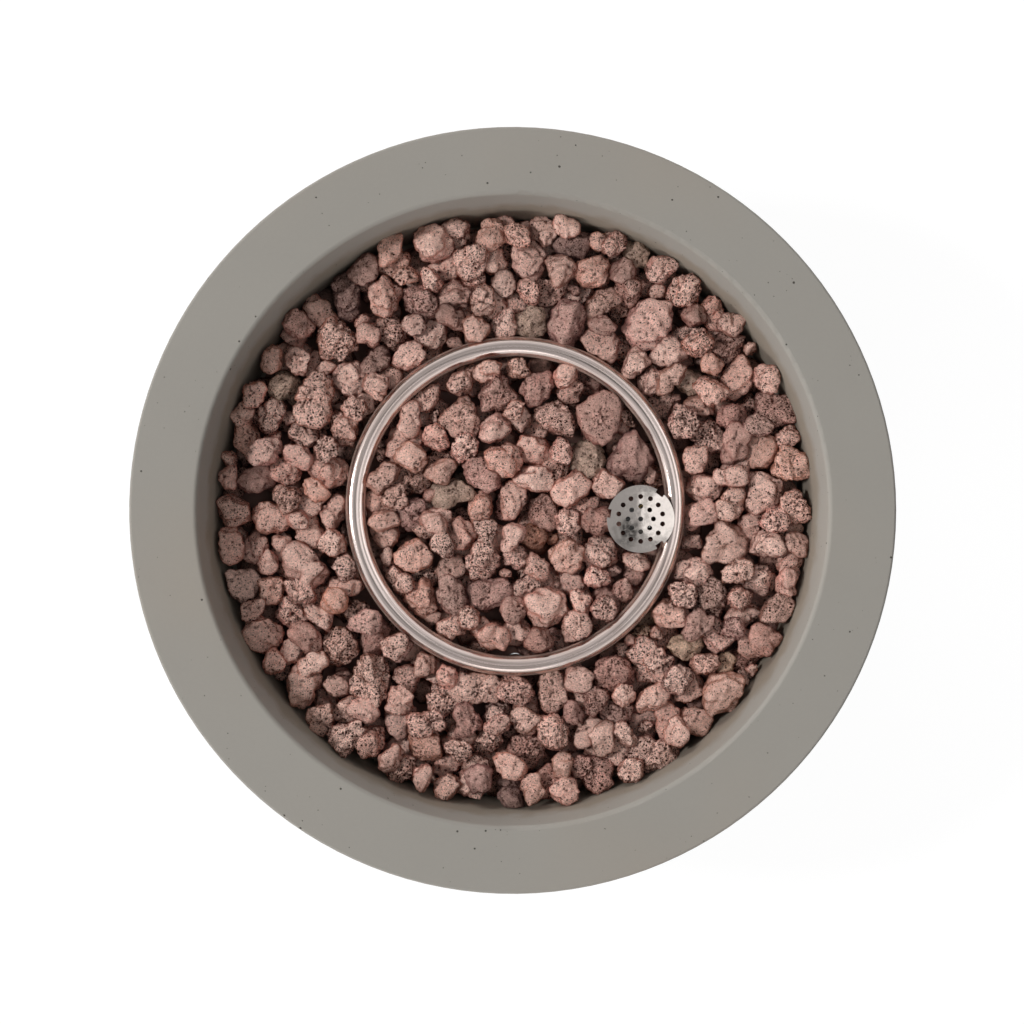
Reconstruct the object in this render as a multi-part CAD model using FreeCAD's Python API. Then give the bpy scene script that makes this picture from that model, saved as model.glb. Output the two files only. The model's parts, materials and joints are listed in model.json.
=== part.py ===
import FreeCAD, Part
import math
import os
import random
from FreeCAD import Placement, Rotation, Vector

# Propane fire bowl, in millimetres. +Z is up, the ground is Z = 0 and the bowl's axis is X = Y = 0.
# The controls face -Y and the gas comes in at +Y.

# Bowl casting
RIM_RADIUS = 355.5
RIM_WIDTH = 62.5
BOWL_HEIGHT = 330.0
LIP_HEIGHT = 46.0
RIM_ROUND = 2.5
MOUTH_ROUND = 4.5
BASE_RADIUS = 215.0
BASE_ROUND = 8.0
BASE_OPENING = 130.0
WALL = 22.0
LEDGE_DEPTH = 106.0
LEDGE_SET = 17.0
LEDGE_WIDTH = 26.0
LEDGE_THICKNESS = 24.0

# Feet
FOOT_HEIGHT = 12.0
FOOT_RADIUS = 24.0
FOOT_COUNT = 4

# Fasteners
SCREW_RADIUS = 2.0
SCREW_HEAD_RADIUS = 3.8
SCREW_HEAD_HEIGHT = 2.4
SCREW_NUT_FLATS = 7.0
SCREW_NUT_HEIGHT = 3.2
FIT = 0.05

# Burner pan
PAN_GAP = 4.0
PAN_THICKNESS = 2.0
PAN_SCREW_COUNT = 4
WEEP_RADIUS = 4.0
WEEP_CIRCLE = 205.0
WEEP_COUNT = 8

# Ring burner
BURNER_X = 2.4
BURNER_Y = 4.0
RING_RADIUS = 151.6
RING_RISE = 43.5
TUBE_RADIUS = 9.525
TUBE_WALL = 1.2
PORT_RADIUS = 1.25
PORT_COUNT = 36
PORT_DROP_ANGLE = 40.0
LEG_ANGLES = (90.0, 210.0, 330.0)
LEG_WIDTH = 18.0
LEG_THICKNESS = 2.0
LEG_FOOT = 9.0

# Mixer tube and orifice
MIXER_DROP = 78.0
MIXER_RADIUS = 9.5
MIXER_WALL = 1.2
AIR_PORT_RADIUS = 3.5
AIR_PORT_HEIGHT = 27.0
ORIFICE_FLATS = 20.0
ORIFICE_HEX_LENGTH = 8.0
THREAD_RADIUS = 6.5
THREAD_LENGTH = 14.0
JET_RADIUS = 0.6

# Igniter guard
GUARD_ANGLE = -5.8
GUARD_GAP = 4.8
CAP_RADIUS = 32.0
CAP_THICKNESS = 1.0
CAP_CROWN = 2.2
CAP_LIFT = 1.5
CAP_HOLE_RADIUS = 2.3
CAP_ROWS = ((1, 0.0), (8, 12.0), (14, 21.2))
TAB_ANGLES = (53.0, 170.0, 306.5)
TAB_RADIUS = 28.5
TAB_WIDTH = 7.0
TAB_LENGTH = 7.0
SLEEVE_RADIUS = 18.2
SLEEVE_WALL = 0.8
SHELF_HEIGHT = 20.0
PROBE_SPACING = 18.0
PROBE_X = 3.0
INSULATOR_RADIUS = 3.5
INSULATOR_LENGTH = 42.0
ELECTRODE_RADIUS = 1.2
THERMOCOUPLE_RADIUS = 2.5

# Control panel and its pocket
POCKET_DEPTH = 41.5
POCKET_MARGIN = 4.0
POCKET_WALL = 12.0
POCKET_BACK = 20.0
CONTROL_Z = 150.0
PANEL_WIDTH = 124.0
PANEL_HEIGHT = 88.0
PANEL_THICKNESS = 2.0
PANEL_CORNER = 8.0
PANEL_SCREW_INSET = 9.0
WINDOW_WIDTH = 96.0
WINDOW_HEIGHT = 54.0

# Gas valve and knob
VALVE_X = -24.0
VALVE_SIZE = 32.0
VALVE_LENGTH = 46.0
BONNET_WIDTH = 44.0
BONNET_THICKNESS = 4.0
VALVE_SCREW_SPACING = 32.0
CHAMBER_RADIUS = 9.0
CHAMBER_LENGTH = 18.0
PLUG_LENGTH = 22.0
PLUG_TIP_RADIUS = 7.0
PLUG_CLEARANCE = 0.08
PLUG_PORT_RADIUS = 2.6
PORT_SETBACK = 38.0
PORT_REACH = 30.0
STEM_RADIUS = 4.0
STEM_FLAT = 2.8
STEM_LENGTH = 26.0
STEM_COLLAR = 3.0
STEM_SLACK = 0.2
STEM_TAIL = 5.0
STEM_TAIL_LENGTH = 20.0
RUNNING_FIT = 0.08
KNOB_TRAVEL = 5.0
KNOB_STOP_GAP = 1.5
KNOB_RADIUS = 21.0
KNOB_LENGTH = 24.0
KNOB_TAPER = 2.5
KNOB_GRIPS = 12
KNOB_GRIP_RADIUS = 4.0
MAGNET_RADIUS = 9.5
MAGNET_LENGTH = 24.0
MAGNET_NUT_LENGTH = 10.0

# Piezo igniter
IGNITER_X = 32.0
IGNITER_RADIUS = 8.0
IGNITER_LENGTH = 54.0
IGNITER_BEZEL_RADIUS = 13.0
IGNITER_BEZEL = 3.0
IGNITER_NUT_FLATS = 24.0
IGNITER_NUT_HEIGHT = 4.0
BUTTON_RADIUS = 6.5
BUTTON_LENGTH = 14.0
BUTTON_SHOW = 7.0
BUTTON_WELL = 21.0
TERMINAL_LENGTH = 6.0

# Springs
STEM_SPRING_RADIUS = 5.8
BUTTON_SPRING_RADIUS = 4.6
SPRING_WIRE = 0.8
SPRING_TURNS = 5

# Gas inlet and tubes
INLET_Z = 70.0
INLET_DEPTH = 31.8
INLET_BOSS_RADIUS = 34.0
INLET_BOSS_LENGTH = 24.0
INLET_RECESS_RADIUS = 24.0
INLET_SHANK_RADIUS = 10.0
INLET_FLATS = 27.0
INLET_HEX_LENGTH = 6.0
INLET_THREAD_RADIUS = 7.94
INLET_THREAD_LENGTH = 16.0
INLET_NOSE_LENGTH = 4.0
INLET_BORE = 4.0
LOCKNUT_FLATS = 30.0
LOCKNUT_HEIGHT = 8.0
SUPPLY_TUBE_RADIUS = 4.0
INLET_TUBE_RADIUS = 5.0
GAS_TUBE_WALL = 0.9
FLARE_NUT_FLATS = 19.0
FLARE_NUT_LENGTH = 22.0
TUBE_BEND = 22.0
SUPPLY_TUBE_SAG = 85.0
INLET_TUBE_X = -130.0
LEAD_RADIUS = 1.5
WIRE_RADIUS = 2.5
LEAD_BEND = 20.0

# Lava rocks
ROCK_BED_DEPTH = 57.0
ROCK_LAYER_DEPTH = 27.0
ROCK_SMALLEST = 12.5
ROCK_LARGEST = 24.0
ROCK_USUAL = 17.0
ROCK_GAP = 0.3
ROCK_PRESS = 0.92
ROCK_CLEARANCE = 1.0
ROCK_POINTS = 11
CHIP_SMALLEST = 7.5
CHIP_LARGEST = 11.5
CHIP_USUAL = 9.5
CHIP_BED_DEPTH = 40.0
CHIP_POINTS = 8
ROCK_TRIALS = 18
ROCK_MISSES = 30
ROCK_SEED = 7

# Places that follow from the sizes above
LIP_Z = BOWL_HEIGHT - LIP_HEIGHT
LEDGE_Z = BOWL_HEIGHT - LEDGE_DEPTH
PAN_TOP = LEDGE_Z + PAN_THICKNESS
RING_Z = PAN_TOP + RING_RISE
CAP_Z = RING_Z + TUBE_RADIUS + CAP_LIFT
MIXER_Z = LEDGE_Z - MIXER_DROP
MOUTH_RADIUS = RIM_RADIUS - RIM_WIDTH
LEDGE_RADIUS = MOUTH_RADIUS - LEDGE_SET
PAN_RADIUS = LEDGE_RADIUS - PAN_GAP
PAN_SCREW_CIRCLE = LEDGE_RADIUS - LEDGE_WIDTH / 2
FOOT_CIRCLE = (BASE_RADIUS + BASE_OPENING) / 2
BELLY_SET = RIM_RADIUS - BASE_RADIUS
BELLY_ARC = (BELLY_SET ** 2 + (LIP_Z - FOOT_HEIGHT) ** 2) / (2 * BELLY_SET)
KNOB_GAP = KNOB_TRAVEL + KNOB_STOP_GAP
UP = Vector(0, 0, 1)
DOWN = Vector(0, 0, -1)
BACK = Vector(0, 1, 0)
LEFT = Vector(-1, 0, 0)


def belly(z, inset=0.0):
    """Radius of the bowl's round side at height z, or of a surface set inside it."""
    return RIM_RADIUS - BELLY_ARC + math.sqrt((BELLY_ARC - inset) ** 2 - (LIP_Z - z) ** 2)


def polar(radius, degrees, z=0.0):
    """Point at a radius and an angle from +X."""
    turn = math.radians(degrees)
    return Vector(radius * math.cos(turn), radius * math.sin(turn), z)


POCKET_FACE = belly(CONTROL_Z) - POCKET_DEPTH
INLET_FACE = belly(INLET_Z) - INLET_DEPTH
RING_CENTRE = Vector(BURNER_X, BURNER_Y, RING_Z)
MIXER_AT = Vector(BURNER_X, BURNER_Y - RING_RADIUS, 0)
GUARD_AT = Vector(BURNER_X, BURNER_Y, 0)
GUARD_AT += polar(RING_RADIUS - TUBE_RADIUS - SLEEVE_RADIUS - GUARD_GAP, GUARD_ANGLE)


def around(count, start=0.0):
    """Angles of equal steps round a circle."""
    return [start + 360.0 * k / count for k in range(count)]


def rod(radius, base, direction, length):
    """Round bar from a point along a direction."""
    return Part.makeCylinder(radius, length, base, direction)


def turned(profile):
    """Solid of revolution about Z from (radius, height) points."""
    points = [Vector(r, 0, z) for r, z in profile]
    return Part.Face(Part.makePolygon(points + points[:1])).revolve(Vector(), UP, 360)


def hexagon(flats, length):
    """Hexagonal bar standing on the origin."""
    points = [polar(flats / math.sqrt(3), a) for a in around(6, 30.0)]
    return Part.Face(Part.makePolygon(points + points[:1])).extrude(UP * length)


def plate(width, height, thickness, corner):
    """Rectangle with rounded corners in XY, centred, standing on Z = 0."""
    box = Part.makeBox(width, height, thickness, Vector(-width / 2, -height / 2, 0))
    upright = [e for e in box.Edges if abs(e.tangentAt(e.FirstParameter).z) > 0.9]
    return box.makeFillet(corner, upright)


def at(shape, base, direction=UP):
    """Shape built along Z from the origin, set on a point along a direction."""
    shape = shape.copy()
    shape.Placement = Placement(base, Rotation(UP, direction)).multiply(shape.Placement)
    return shape


def panel_point(x, y, z):
    """Place in the room of a point given in the control pocket's frame."""
    return Vector(x, -POCKET_FACE - z, CONTROL_Z + y)


def on_panel(shape, x=0.0, y=0.0, z=0.0):
    """Shape built with Z towards the user and Y up, set on a point of the control pocket's frame."""
    shape = shape.copy()
    forward = Placement(panel_point(x, y, z), Rotation(Vector(1, 0, 0), 90))
    shape.Placement = forward.multiply(shape.Placement)
    return shape


def rounded_path(points, bend):
    """Straight runs joined by arcs of one bend radius."""
    edges = []
    start = points[0]
    for before, corner, after in zip(points, points[1:], points[2:]):
        back = (before - corner).normalize()
        ahead = (after - corner).normalize()
        half = back.getAngle(ahead) / 2
        cut = bend / math.tan(half)
        middle = (back + ahead).normalize() * (bend / math.sin(half) - bend)
        edges.append(Part.makeLine(start, corner + back * cut))
        edges.append(Part.Arc(corner + back * cut, corner + middle, corner + ahead * cut).toShape())
        start = corner + ahead * cut
    edges.append(Part.makeLine(start, points[-1]))
    return Part.Wire(edges)


def swept(points, radius, bend):
    """Round bar along a bent path."""
    path = rounded_path(points, bend)
    circle = Part.Wire(Part.makeCircle(radius, points[0], points[1] - points[0]))
    return path.makePipeShell([circle], True, False)


def gas_tube(points, radius):
    """Hollow bent tube."""
    return swept(points, radius, TUBE_BEND).cut(swept(points, radius - GAS_TUBE_WALL, TUBE_BEND))


def faceted(points, triangles):
    """Solid with flat triangular faces."""
    shell = Part.Shape()
    shell.makeShapeFromMesh((points, triangles), 0.001)
    return Part.Solid(shell)


def coil(radius, bottom, top):
    """Compression spring along Z between two heights: a six-sided wire wound in a helix."""
    sides = 6
    steps = 12 * SPRING_TURNS
    points = []
    for k in range(steps + 1):
        height = bottom + SPRING_WIRE / 2 + (top - bottom - SPRING_WIRE) * k / steps
        for angle in around(sides):
            across = polar(SPRING_WIRE / 2, angle)
            points.append(polar(radius + across.x, 360.0 * k / 12, height + across.y))
    triangles = []
    for k in range(steps):
        for i in range(sides):
            a, b = k * sides + i, k * sides + (i + 1) % sides
            triangles += [(a, a + sides, b), (b, a + sides, b + sides)]
    end = steps * sides
    for i in range(1, sides - 1):
        triangles += [(0, i, i + 1), (end, end + i + 1, end + i)]
    return faceted(points, triangles)


def pan_head_screw(length):
    """Screw with its head's underside at Z = 0 and its shank down."""
    head = rod(SCREW_HEAD_RADIUS, Vector(), UP, SCREW_HEAD_HEIGHT)
    rim = [e for e in head.Edges if e.BoundBox.ZMin > SCREW_HEAD_HEIGHT / 2]
    head = head.makeFillet(SCREW_HEAD_HEIGHT / 2, rim)
    corner = Vector(-SCREW_HEAD_RADIUS, -0.45, SCREW_HEAD_HEIGHT - 1.0)
    slot = Part.makeBox(2 * SCREW_HEAD_RADIUS, 0.9, 1.0, corner)
    return head.fuse(rod(SCREW_RADIUS, Vector(), DOWN, length)).cut(slot)


def flush_screw(length):
    """Countersunk screw with its head's face at Z = 0."""
    cone = Part.makeCone(2 * SCREW_RADIUS, SCREW_RADIUS, SCREW_RADIUS, Vector(), DOWN)
    slot = Part.makeBox(4 * SCREW_RADIUS, 0.9, 0.9, Vector(-2 * SCREW_RADIUS, -0.45, -0.9))
    return cone.fuse(rod(SCREW_RADIUS, Vector(), DOWN, length)).cut(slot)


def countersink(depth):
    """Hole for a flush screw, with its mouth at Z = 0."""
    wide = 2 * SCREW_RADIUS + FIT
    cone = Part.makeCone(wide, SCREW_RADIUS + FIT, SCREW_RADIUS, Vector(), DOWN)
    return cone.fuse(rod(SCREW_RADIUS + FIT, Vector(), DOWN, depth))


def small_nut():
    """Hexagon nut hanging from Z = 0."""
    bore = rod(SCREW_RADIUS + FIT, Vector(), UP, SCREW_NUT_HEIGHT)
    bored = hexagon(SCREW_NUT_FLATS, SCREW_NUT_HEIGHT).cut(bore)
    bored.translate(Vector(0, 0, -SCREW_NUT_HEIGHT))
    return bored


def flare_nut(tube_radius, thread_radius):
    """Nut that starts on a male thread's root at Z = 0 and closes on its tube."""
    nut = hexagon(FLARE_NUT_FLATS, FLARE_NUT_LENGTH)
    nut = nut.common(Part.makeCone(FLARE_NUT_FLATS, FLARE_NUT_FLATS / 2, FLARE_NUT_LENGTH + 4))
    bore = rod(tube_radius + FIT, Vector(), UP, FLARE_NUT_LENGTH)
    return nut.cut([bore, rod(thread_radius + FIT, Vector(), UP, THREAD_LENGTH)])


# Bowl casting

def bowl_outside():
    """The casting's outer form, filled."""
    foot = Vector(BASE_RADIUS, 0, FOOT_HEIGHT)
    side = Vector(belly((FOOT_HEIGHT + LIP_Z) / 2), 0, (FOOT_HEIGHT + LIP_Z) / 2)
    lip = Vector(RIM_RADIUS, 0, LIP_Z)
    top = Vector(RIM_RADIUS, 0, BOWL_HEIGHT)
    edges = [
        Part.makeLine(Vector(0, 0, FOOT_HEIGHT), foot),
        Part.Arc(foot, side, lip).toShape(),
        Part.makeLine(lip, top),
        Part.makeLine(top, Vector(0, 0, BOWL_HEIGHT)),
        Part.makeLine(Vector(0, 0, BOWL_HEIGHT), Vector(0, 0, FOOT_HEIGHT)),
    ]
    solid = Part.Face(Part.Wire(edges)).revolve(Vector(), UP, 360)
    rounds = ((BOWL_HEIGHT, RIM_ROUND), (FOOT_HEIGHT, BASE_ROUND))
    for height, size in rounds:
        rim = [e for e in solid.Edges if e.BoundBox.XLength > BASE_RADIUS]
        rim = [e for e in rim if abs(e.BoundBox.ZMin - height) < 0.01 and e.BoundBox.ZLength < 0.01]
        solid = solid.makeFillet(size, rim)
    return solid


def fire_space():
    """Room above the ledge: a sloping wall with a rounded mouth."""
    lift = RIM_WIDTH
    slope = (MOUTH_RADIUS - LEDGE_RADIUS) / LEDGE_DEPTH
    wall = turned([(0, LEDGE_Z), (LEDGE_RADIUS, LEDGE_Z), (MOUTH_RADIUS, BOWL_HEIGHT), (0, BOWL_HEIGHT)])
    lean = math.atan(slope)
    reach = MOUTH_ROUND * math.tan((math.pi / 2 - lean) / 2)
    low = Vector(MOUTH_RADIUS - reach * math.sin(lean), 0, BOWL_HEIGHT - reach * math.cos(lean))
    high = Vector(MOUTH_RADIUS + reach, 0, BOWL_HEIGHT)
    heart = Vector(high.x, 0, BOWL_HEIGHT - MOUTH_ROUND)
    crown = heart + (Vector(MOUTH_RADIUS, 0, BOWL_HEIGHT) - heart).normalize() * MOUTH_ROUND
    edges = [
        Part.makeLine(Vector(0, 0, low.z), low),
        Part.Arc(low, crown, high).toShape(),
        Part.makeLine(high, high + UP * lift),
        Part.makeLine(high + UP * lift, Vector(0, 0, BOWL_HEIGHT + lift)),
        Part.makeLine(Vector(0, 0, BOWL_HEIGHT + lift), Vector(0, 0, low.z)),
    ]
    return wall.fuse(Part.Face(Part.Wire(edges)).revolve(Vector(), UP, 360))


def under_space():
    """Room below the ledge for the gas train, with the opening in the base."""
    floor = FOOT_HEIGHT + WALL
    roof = LEDGE_Z - LEDGE_THICKNESS
    low = Vector(belly(floor, WALL), 0, floor)
    middle = Vector(belly((floor + roof) / 2, WALL), 0, (floor + roof) / 2)
    high = Vector(belly(roof, WALL), 0, roof)
    edges = [
        Part.makeLine(Vector(0, 0, floor), low),
        Part.Arc(low, middle, high).toShape(),
        Part.makeLine(high, Vector(0, 0, roof)),
        Part.makeLine(Vector(0, 0, roof), Vector(0, 0, floor)),
    ]
    room = Part.Face(Part.Wire(edges)).revolve(Vector(), UP, 360)
    hatch = rod(BASE_OPENING, Vector(), UP, floor + 1)
    throat = rod(LEDGE_RADIUS - LEDGE_WIDTH, Vector(0, 0, roof - 1), UP, LEDGE_THICKNESS + 2)
    return room.fuse([hatch, throat])


def pocket_tool(width, height, near, far, corner):
    """Block with rounded corners across the control pocket, between two depths."""
    block = plate(width, height, far - near, corner)
    block.translate(Vector(0, 0, near))
    return on_panel(block)


def panel_corners():
    """Screw places on the control panel."""
    x = PANEL_WIDTH / 2 - PANEL_SCREW_INSET
    y = PANEL_HEIGHT / 2 - PANEL_SCREW_INSET
    return [Vector(i * x, j * y, 0) for i in (-1, 1) for j in (-1, 1)]


def bowl_casting():
    """Bowl with its control pocket, gas inlet boss and screw holes."""
    outside = bowl_outside()
    width = PANEL_WIDTH + 2 * POCKET_MARGIN
    height = PANEL_HEIGHT + 2 * POCKET_MARGIN
    beyond = RIM_RADIUS - POCKET_FACE
    corner = PANEL_CORNER + POCKET_MARGIN
    housing = pocket_tool(width + 2 * POCKET_WALL, height + 2 * POCKET_WALL, -POCKET_BACK, beyond, corner)
    boss_base = Vector(0, INLET_FACE - INLET_BOSS_LENGTH, INLET_Z)
    boss = rod(INLET_BOSS_RADIUS, boss_base, BACK, RIM_RADIUS - INLET_FACE)
    added = outside.common(Part.makeCompound([housing, boss]))
    bowl = outside.cut([fire_space(), under_space()]).fuse(added.Solids)
    cuts = [
        pocket_tool(width, height, 0, beyond, corner),
        pocket_tool(WINDOW_WIDTH, WINDOW_HEIGHT, -POCKET_BACK - 1, 1, PANEL_CORNER),
        rod(INLET_RECESS_RADIUS, Vector(0, INLET_FACE, INLET_Z), BACK, RIM_RADIUS - INLET_FACE),
        rod(INLET_SHANK_RADIUS + FIT, boss_base, BACK, INLET_BOSS_LENGTH),
    ]
    for corner_point in panel_corners():
        cuts.append(on_panel(rod(SCREW_RADIUS + FIT, corner_point, DOWN, POCKET_BACK)))
    for angle in around(FOOT_COUNT, 45.0):
        cuts.append(rod(SCREW_RADIUS + FIT, polar(FOOT_CIRCLE, angle, FOOT_HEIGHT), UP, WALL - 4))
    for angle in around(PAN_SCREW_COUNT, 45.0):
        mouth = polar(PAN_SCREW_CIRCLE, angle, LEDGE_Z)
        cuts.append(rod(SCREW_RADIUS + FIT, mouth, DOWN, LEDGE_THICKNESS - 4))
    return bowl.cut(cuts)


def rubber_feet():
    """Round pads with a recess for the screw."""
    pad = rod(FOOT_RADIUS, Vector(), UP, FOOT_HEIGHT)
    pad = pad.makeFillet(2.0, [e for e in pad.Edges if e.BoundBox.ZMax < 0.01])
    recess = rod(SCREW_HEAD_RADIUS + 2.5, Vector(), UP, FOOT_HEIGHT / 2)
    pad = pad.cut([recess, rod(SCREW_RADIUS + FIT, Vector(), UP, FOOT_HEIGHT)])
    return [at(pad, polar(FOOT_CIRCLE, a)) for a in around(FOOT_COUNT, 45.0)]


def foot_screws():
    """Screws up through the pads."""
    screw = pan_head_screw(FOOT_HEIGHT / 2 + WALL - 6)
    return [at(screw, polar(FOOT_CIRCLE, a, FOOT_HEIGHT / 2), DOWN) for a in around(FOOT_COUNT, 45.0)]


# Burner pan, ring and mixer

def probe_points():
    """Electrode and thermocouple places in plan."""
    side = PROBE_SPACING / 2
    return GUARD_AT + Vector(PROBE_X, -side, 0), GUARD_AT + Vector(PROBE_X, side, 0)


def bracket_screw_point():
    """Screw place of the igniter bracket in plan."""
    return GUARD_AT + Vector(-9.0, 0, 0)


def leg_screw_points():
    """Screw places of the burner legs in plan."""
    centre = Vector(BURNER_X, BURNER_Y, 0)
    return [centre + polar(RING_RADIUS + LEG_FOOT / 2 + 0.5, a) for a in LEG_ANGLES]


def burner_pan():
    """Flat pan with its holes."""
    base = Vector(0, 0, LEDGE_Z)
    pan = rod(PAN_RADIUS, base, UP, PAN_THICKNESS)
    electrode, thermocouple = probe_points()
    holes = [
        rod(MIXER_RADIUS + 0.4, MIXER_AT + base, UP, PAN_THICKNESS),
        rod(INSULATOR_RADIUS + 0.5, electrode + base, UP, PAN_THICKNESS),
        rod(THERMOCOUPLE_RADIUS + 0.5, thermocouple + base, UP, PAN_THICKNESS),
    ]
    for angle in around(WEEP_COUNT, 22.5):
        holes.append(rod(WEEP_RADIUS, polar(WEEP_CIRCLE, angle, LEDGE_Z), UP, PAN_THICKNESS))
    for angle in around(PAN_SCREW_COUNT, 45.0):
        holes.append(at(countersink(PAN_THICKNESS + 1), polar(PAN_SCREW_CIRCLE, angle, PAN_TOP)))
    for point in leg_screw_points() + [bracket_screw_point()]:
        holes.append(rod(SCREW_RADIUS + FIT, point + base, UP, PAN_THICKNESS))
    return pan.cut(holes)


def pan_screws():
    """Flush screws that hold the pan on the ledge."""
    screw = flush_screw(PAN_THICKNESS + LEDGE_THICKNESS - 6)
    return [at(screw, polar(PAN_SCREW_CIRCLE, a, PAN_TOP)) for a in around(PAN_SCREW_COUNT, 45.0)]


def ring_solid(radius):
    """Solid ring of the burner's size with a chosen tube radius."""
    return Part.makeTorus(RING_RADIUS, radius, RING_CENTRE, UP)


def burner_ring():
    """Hollow ring with gas ports low on its inner side and the mixer's entry below."""
    ring = ring_solid(TUBE_RADIUS).cut(ring_solid(TUBE_RADIUS - TUBE_WALL))
    cuts = [rod(MIXER_RADIUS - MIXER_WALL - 1.5, MIXER_AT + UP * RING_Z, DOWN, 2 * TUBE_RADIUS)]
    drop = math.sin(math.radians(PORT_DROP_ANGLE))
    inward = math.cos(math.radians(PORT_DROP_ANGLE))
    for angle in around(PORT_COUNT, 5.0):
        axis = polar(-inward, angle, -drop)
        cuts.append(rod(PORT_RADIUS, RING_CENTRE + polar(RING_RADIUS, angle), axis, 2 * TUBE_RADIUS))
    return ring.cut(cuts)


def burner_legs():
    """Strips that carry the ring, each with a foot screwed to the pan."""
    shadow = ring_solid(TUBE_RADIUS + FIT)
    legs = []
    for angle, screw in zip(LEG_ANGLES, leg_screw_points()):
        half = LEG_THICKNESS / 2
        strip = Part.makeBox(LEG_THICKNESS, LEG_WIDTH, RING_RISE, Vector(-half, -LEG_WIDTH / 2, 0))
        foot = Part.makeBox(LEG_FOOT, LEG_WIDTH, LEG_THICKNESS, Vector(0, -LEG_WIDTH / 2, 0))
        leg = strip.fuse(foot).removeSplitter()
        leg.rotate(Vector(), UP, angle)
        leg.translate(Vector(BURNER_X, BURNER_Y, PAN_TOP) + polar(RING_RADIUS, angle))
        hole = rod(SCREW_RADIUS + FIT, screw + UP * PAN_TOP, UP, LEG_THICKNESS)
        legs.append(max(leg.cut([shadow, hole]).Solids, key=lambda s: s.Volume))
    return legs


def burner_screws():
    """Screws of the legs and of the igniter bracket."""
    screw = pan_head_screw(LEG_THICKNESS + PAN_THICKNESS + SCREW_NUT_HEIGHT + 1.5)
    points = leg_screw_points() + [bracket_screw_point()]
    return [at(screw, p + UP * (PAN_TOP + LEG_THICKNESS)) for p in points]


def burner_nuts():
    """Nuts under the pan."""
    points = leg_screw_points() + [bracket_screw_point()]
    return [at(small_nut(), p + UP * LEDGE_Z) for p in points]


def mixer_tube():
    """Tube down from the ring through the pan, with air ports above the orifice."""
    tube = rod(MIXER_RADIUS, MIXER_AT + UP * MIXER_Z, UP, RING_Z - MIXER_Z)
    bore = rod(MIXER_RADIUS - MIXER_WALL, MIXER_AT + UP * MIXER_Z, UP, RING_Z - MIXER_Z)
    cuts = [bore, ring_solid(TUBE_RADIUS + FIT)]
    for axis in (Vector(1, 0, 0), BACK):
        middle = MIXER_AT + UP * (MIXER_Z + AIR_PORT_HEIGHT)
        cuts.append(rod(AIR_PORT_RADIUS, middle - axis * MIXER_RADIUS * 2, axis, MIXER_RADIUS * 4))
    return max(tube.cut(cuts).Solids, key=lambda s: s.Volume)


def gas_orifice():
    """Brass jet plugged into the mixer, with a male thread below its hexagon."""
    plug = MIXER_RADIUS - MIXER_WALL - FIT
    nozzle = turned([(0, 0), (plug, 0), (plug, 8), (4.5, 8), (4.5, 16), (2.2, 20), (0, 20)])
    flats = hexagon(ORIFICE_FLATS, ORIFICE_HEX_LENGTH)
    flats.translate(DOWN * ORIFICE_HEX_LENGTH)
    thread = rod(THREAD_RADIUS, Vector(), DOWN, ORIFICE_HEX_LENGTH + THREAD_LENGTH)
    jet = rod(JET_RADIUS, Vector(), UP, 20)
    depth = 14 + ORIFICE_HEX_LENGTH + THREAD_LENGTH
    bore = rod(SUPPLY_TUBE_RADIUS - GAS_TUBE_WALL, Vector(0, 0, 14), DOWN, depth)
    return at(nozzle.fuse([flats, thread]).cut([jet, bore]), MIXER_AT + UP * MIXER_Z)


def orifice_end():
    """Lower end of the orifice's thread."""
    return MIXER_AT + UP * (MIXER_Z - ORIFICE_HEX_LENGTH - THREAD_LENGTH)


# Igniter guard

def cap_rise(radius):
    """Height of the cap's underside above its rim at a radius."""
    ball = (CAP_RADIUS ** 2 + CAP_CROWN ** 2) / (2 * CAP_CROWN)
    return CAP_CROWN - ball + math.sqrt(ball ** 2 - radius ** 2)


def crowned_disc():
    """Thin disc pressed to a shallow crown."""
    radii = (0, CAP_RADIUS / 2, CAP_RADIUS)
    under = [Vector(r, 0, cap_rise(r)) for r in radii]
    over = [p + UP * CAP_THICKNESS for p in under]
    edges = [
        Part.Arc(*under).toShape(),
        Part.makeLine(under[2], over[2]),
        Part.Arc(*reversed(over)).toShape(),
        Part.makeLine(over[0], under[0]),
    ]
    return Part.Face(Part.Wire(edges)).revolve(Vector(), UP, 360)


def guard_cap():
    """Perforated, slightly crowned disc with three edge tabs bent down."""
    disc = crowned_disc()
    depth = CAP_CROWN + 2 * CAP_THICKNESS
    holes = []
    for count, radius in CAP_ROWS:
        for angle in around(count, 90.0):
            holes.append(rod(CAP_HOLE_RADIUS, polar(radius, angle), UP, depth))
    tabs = []
    for angle in TAB_ANGLES:
        corner = Vector(TAB_RADIUS, -TAB_WIDTH / 2 - 0.5, 0)
        notch = Part.makeBox(CAP_RADIUS, TAB_WIDTH + 1, depth, corner)
        notch.rotate(Vector(), UP, angle)
        holes.append(notch)
        drop = TAB_LENGTH + cap_rise(TAB_RADIUS) + CAP_THICKNESS / 2
        corner = Vector(TAB_RADIUS - SLEEVE_WALL, -TAB_WIDTH / 2, -TAB_LENGTH)
        tab = Part.makeBox(SLEEVE_WALL, TAB_WIDTH, drop, corner)
        tab.rotate(Vector(), UP, angle)
        tabs.append(tab)
    return at(disc.cut(holes).fuse(tabs).removeSplitter(), GUARD_AT + UP * CAP_Z)


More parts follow.
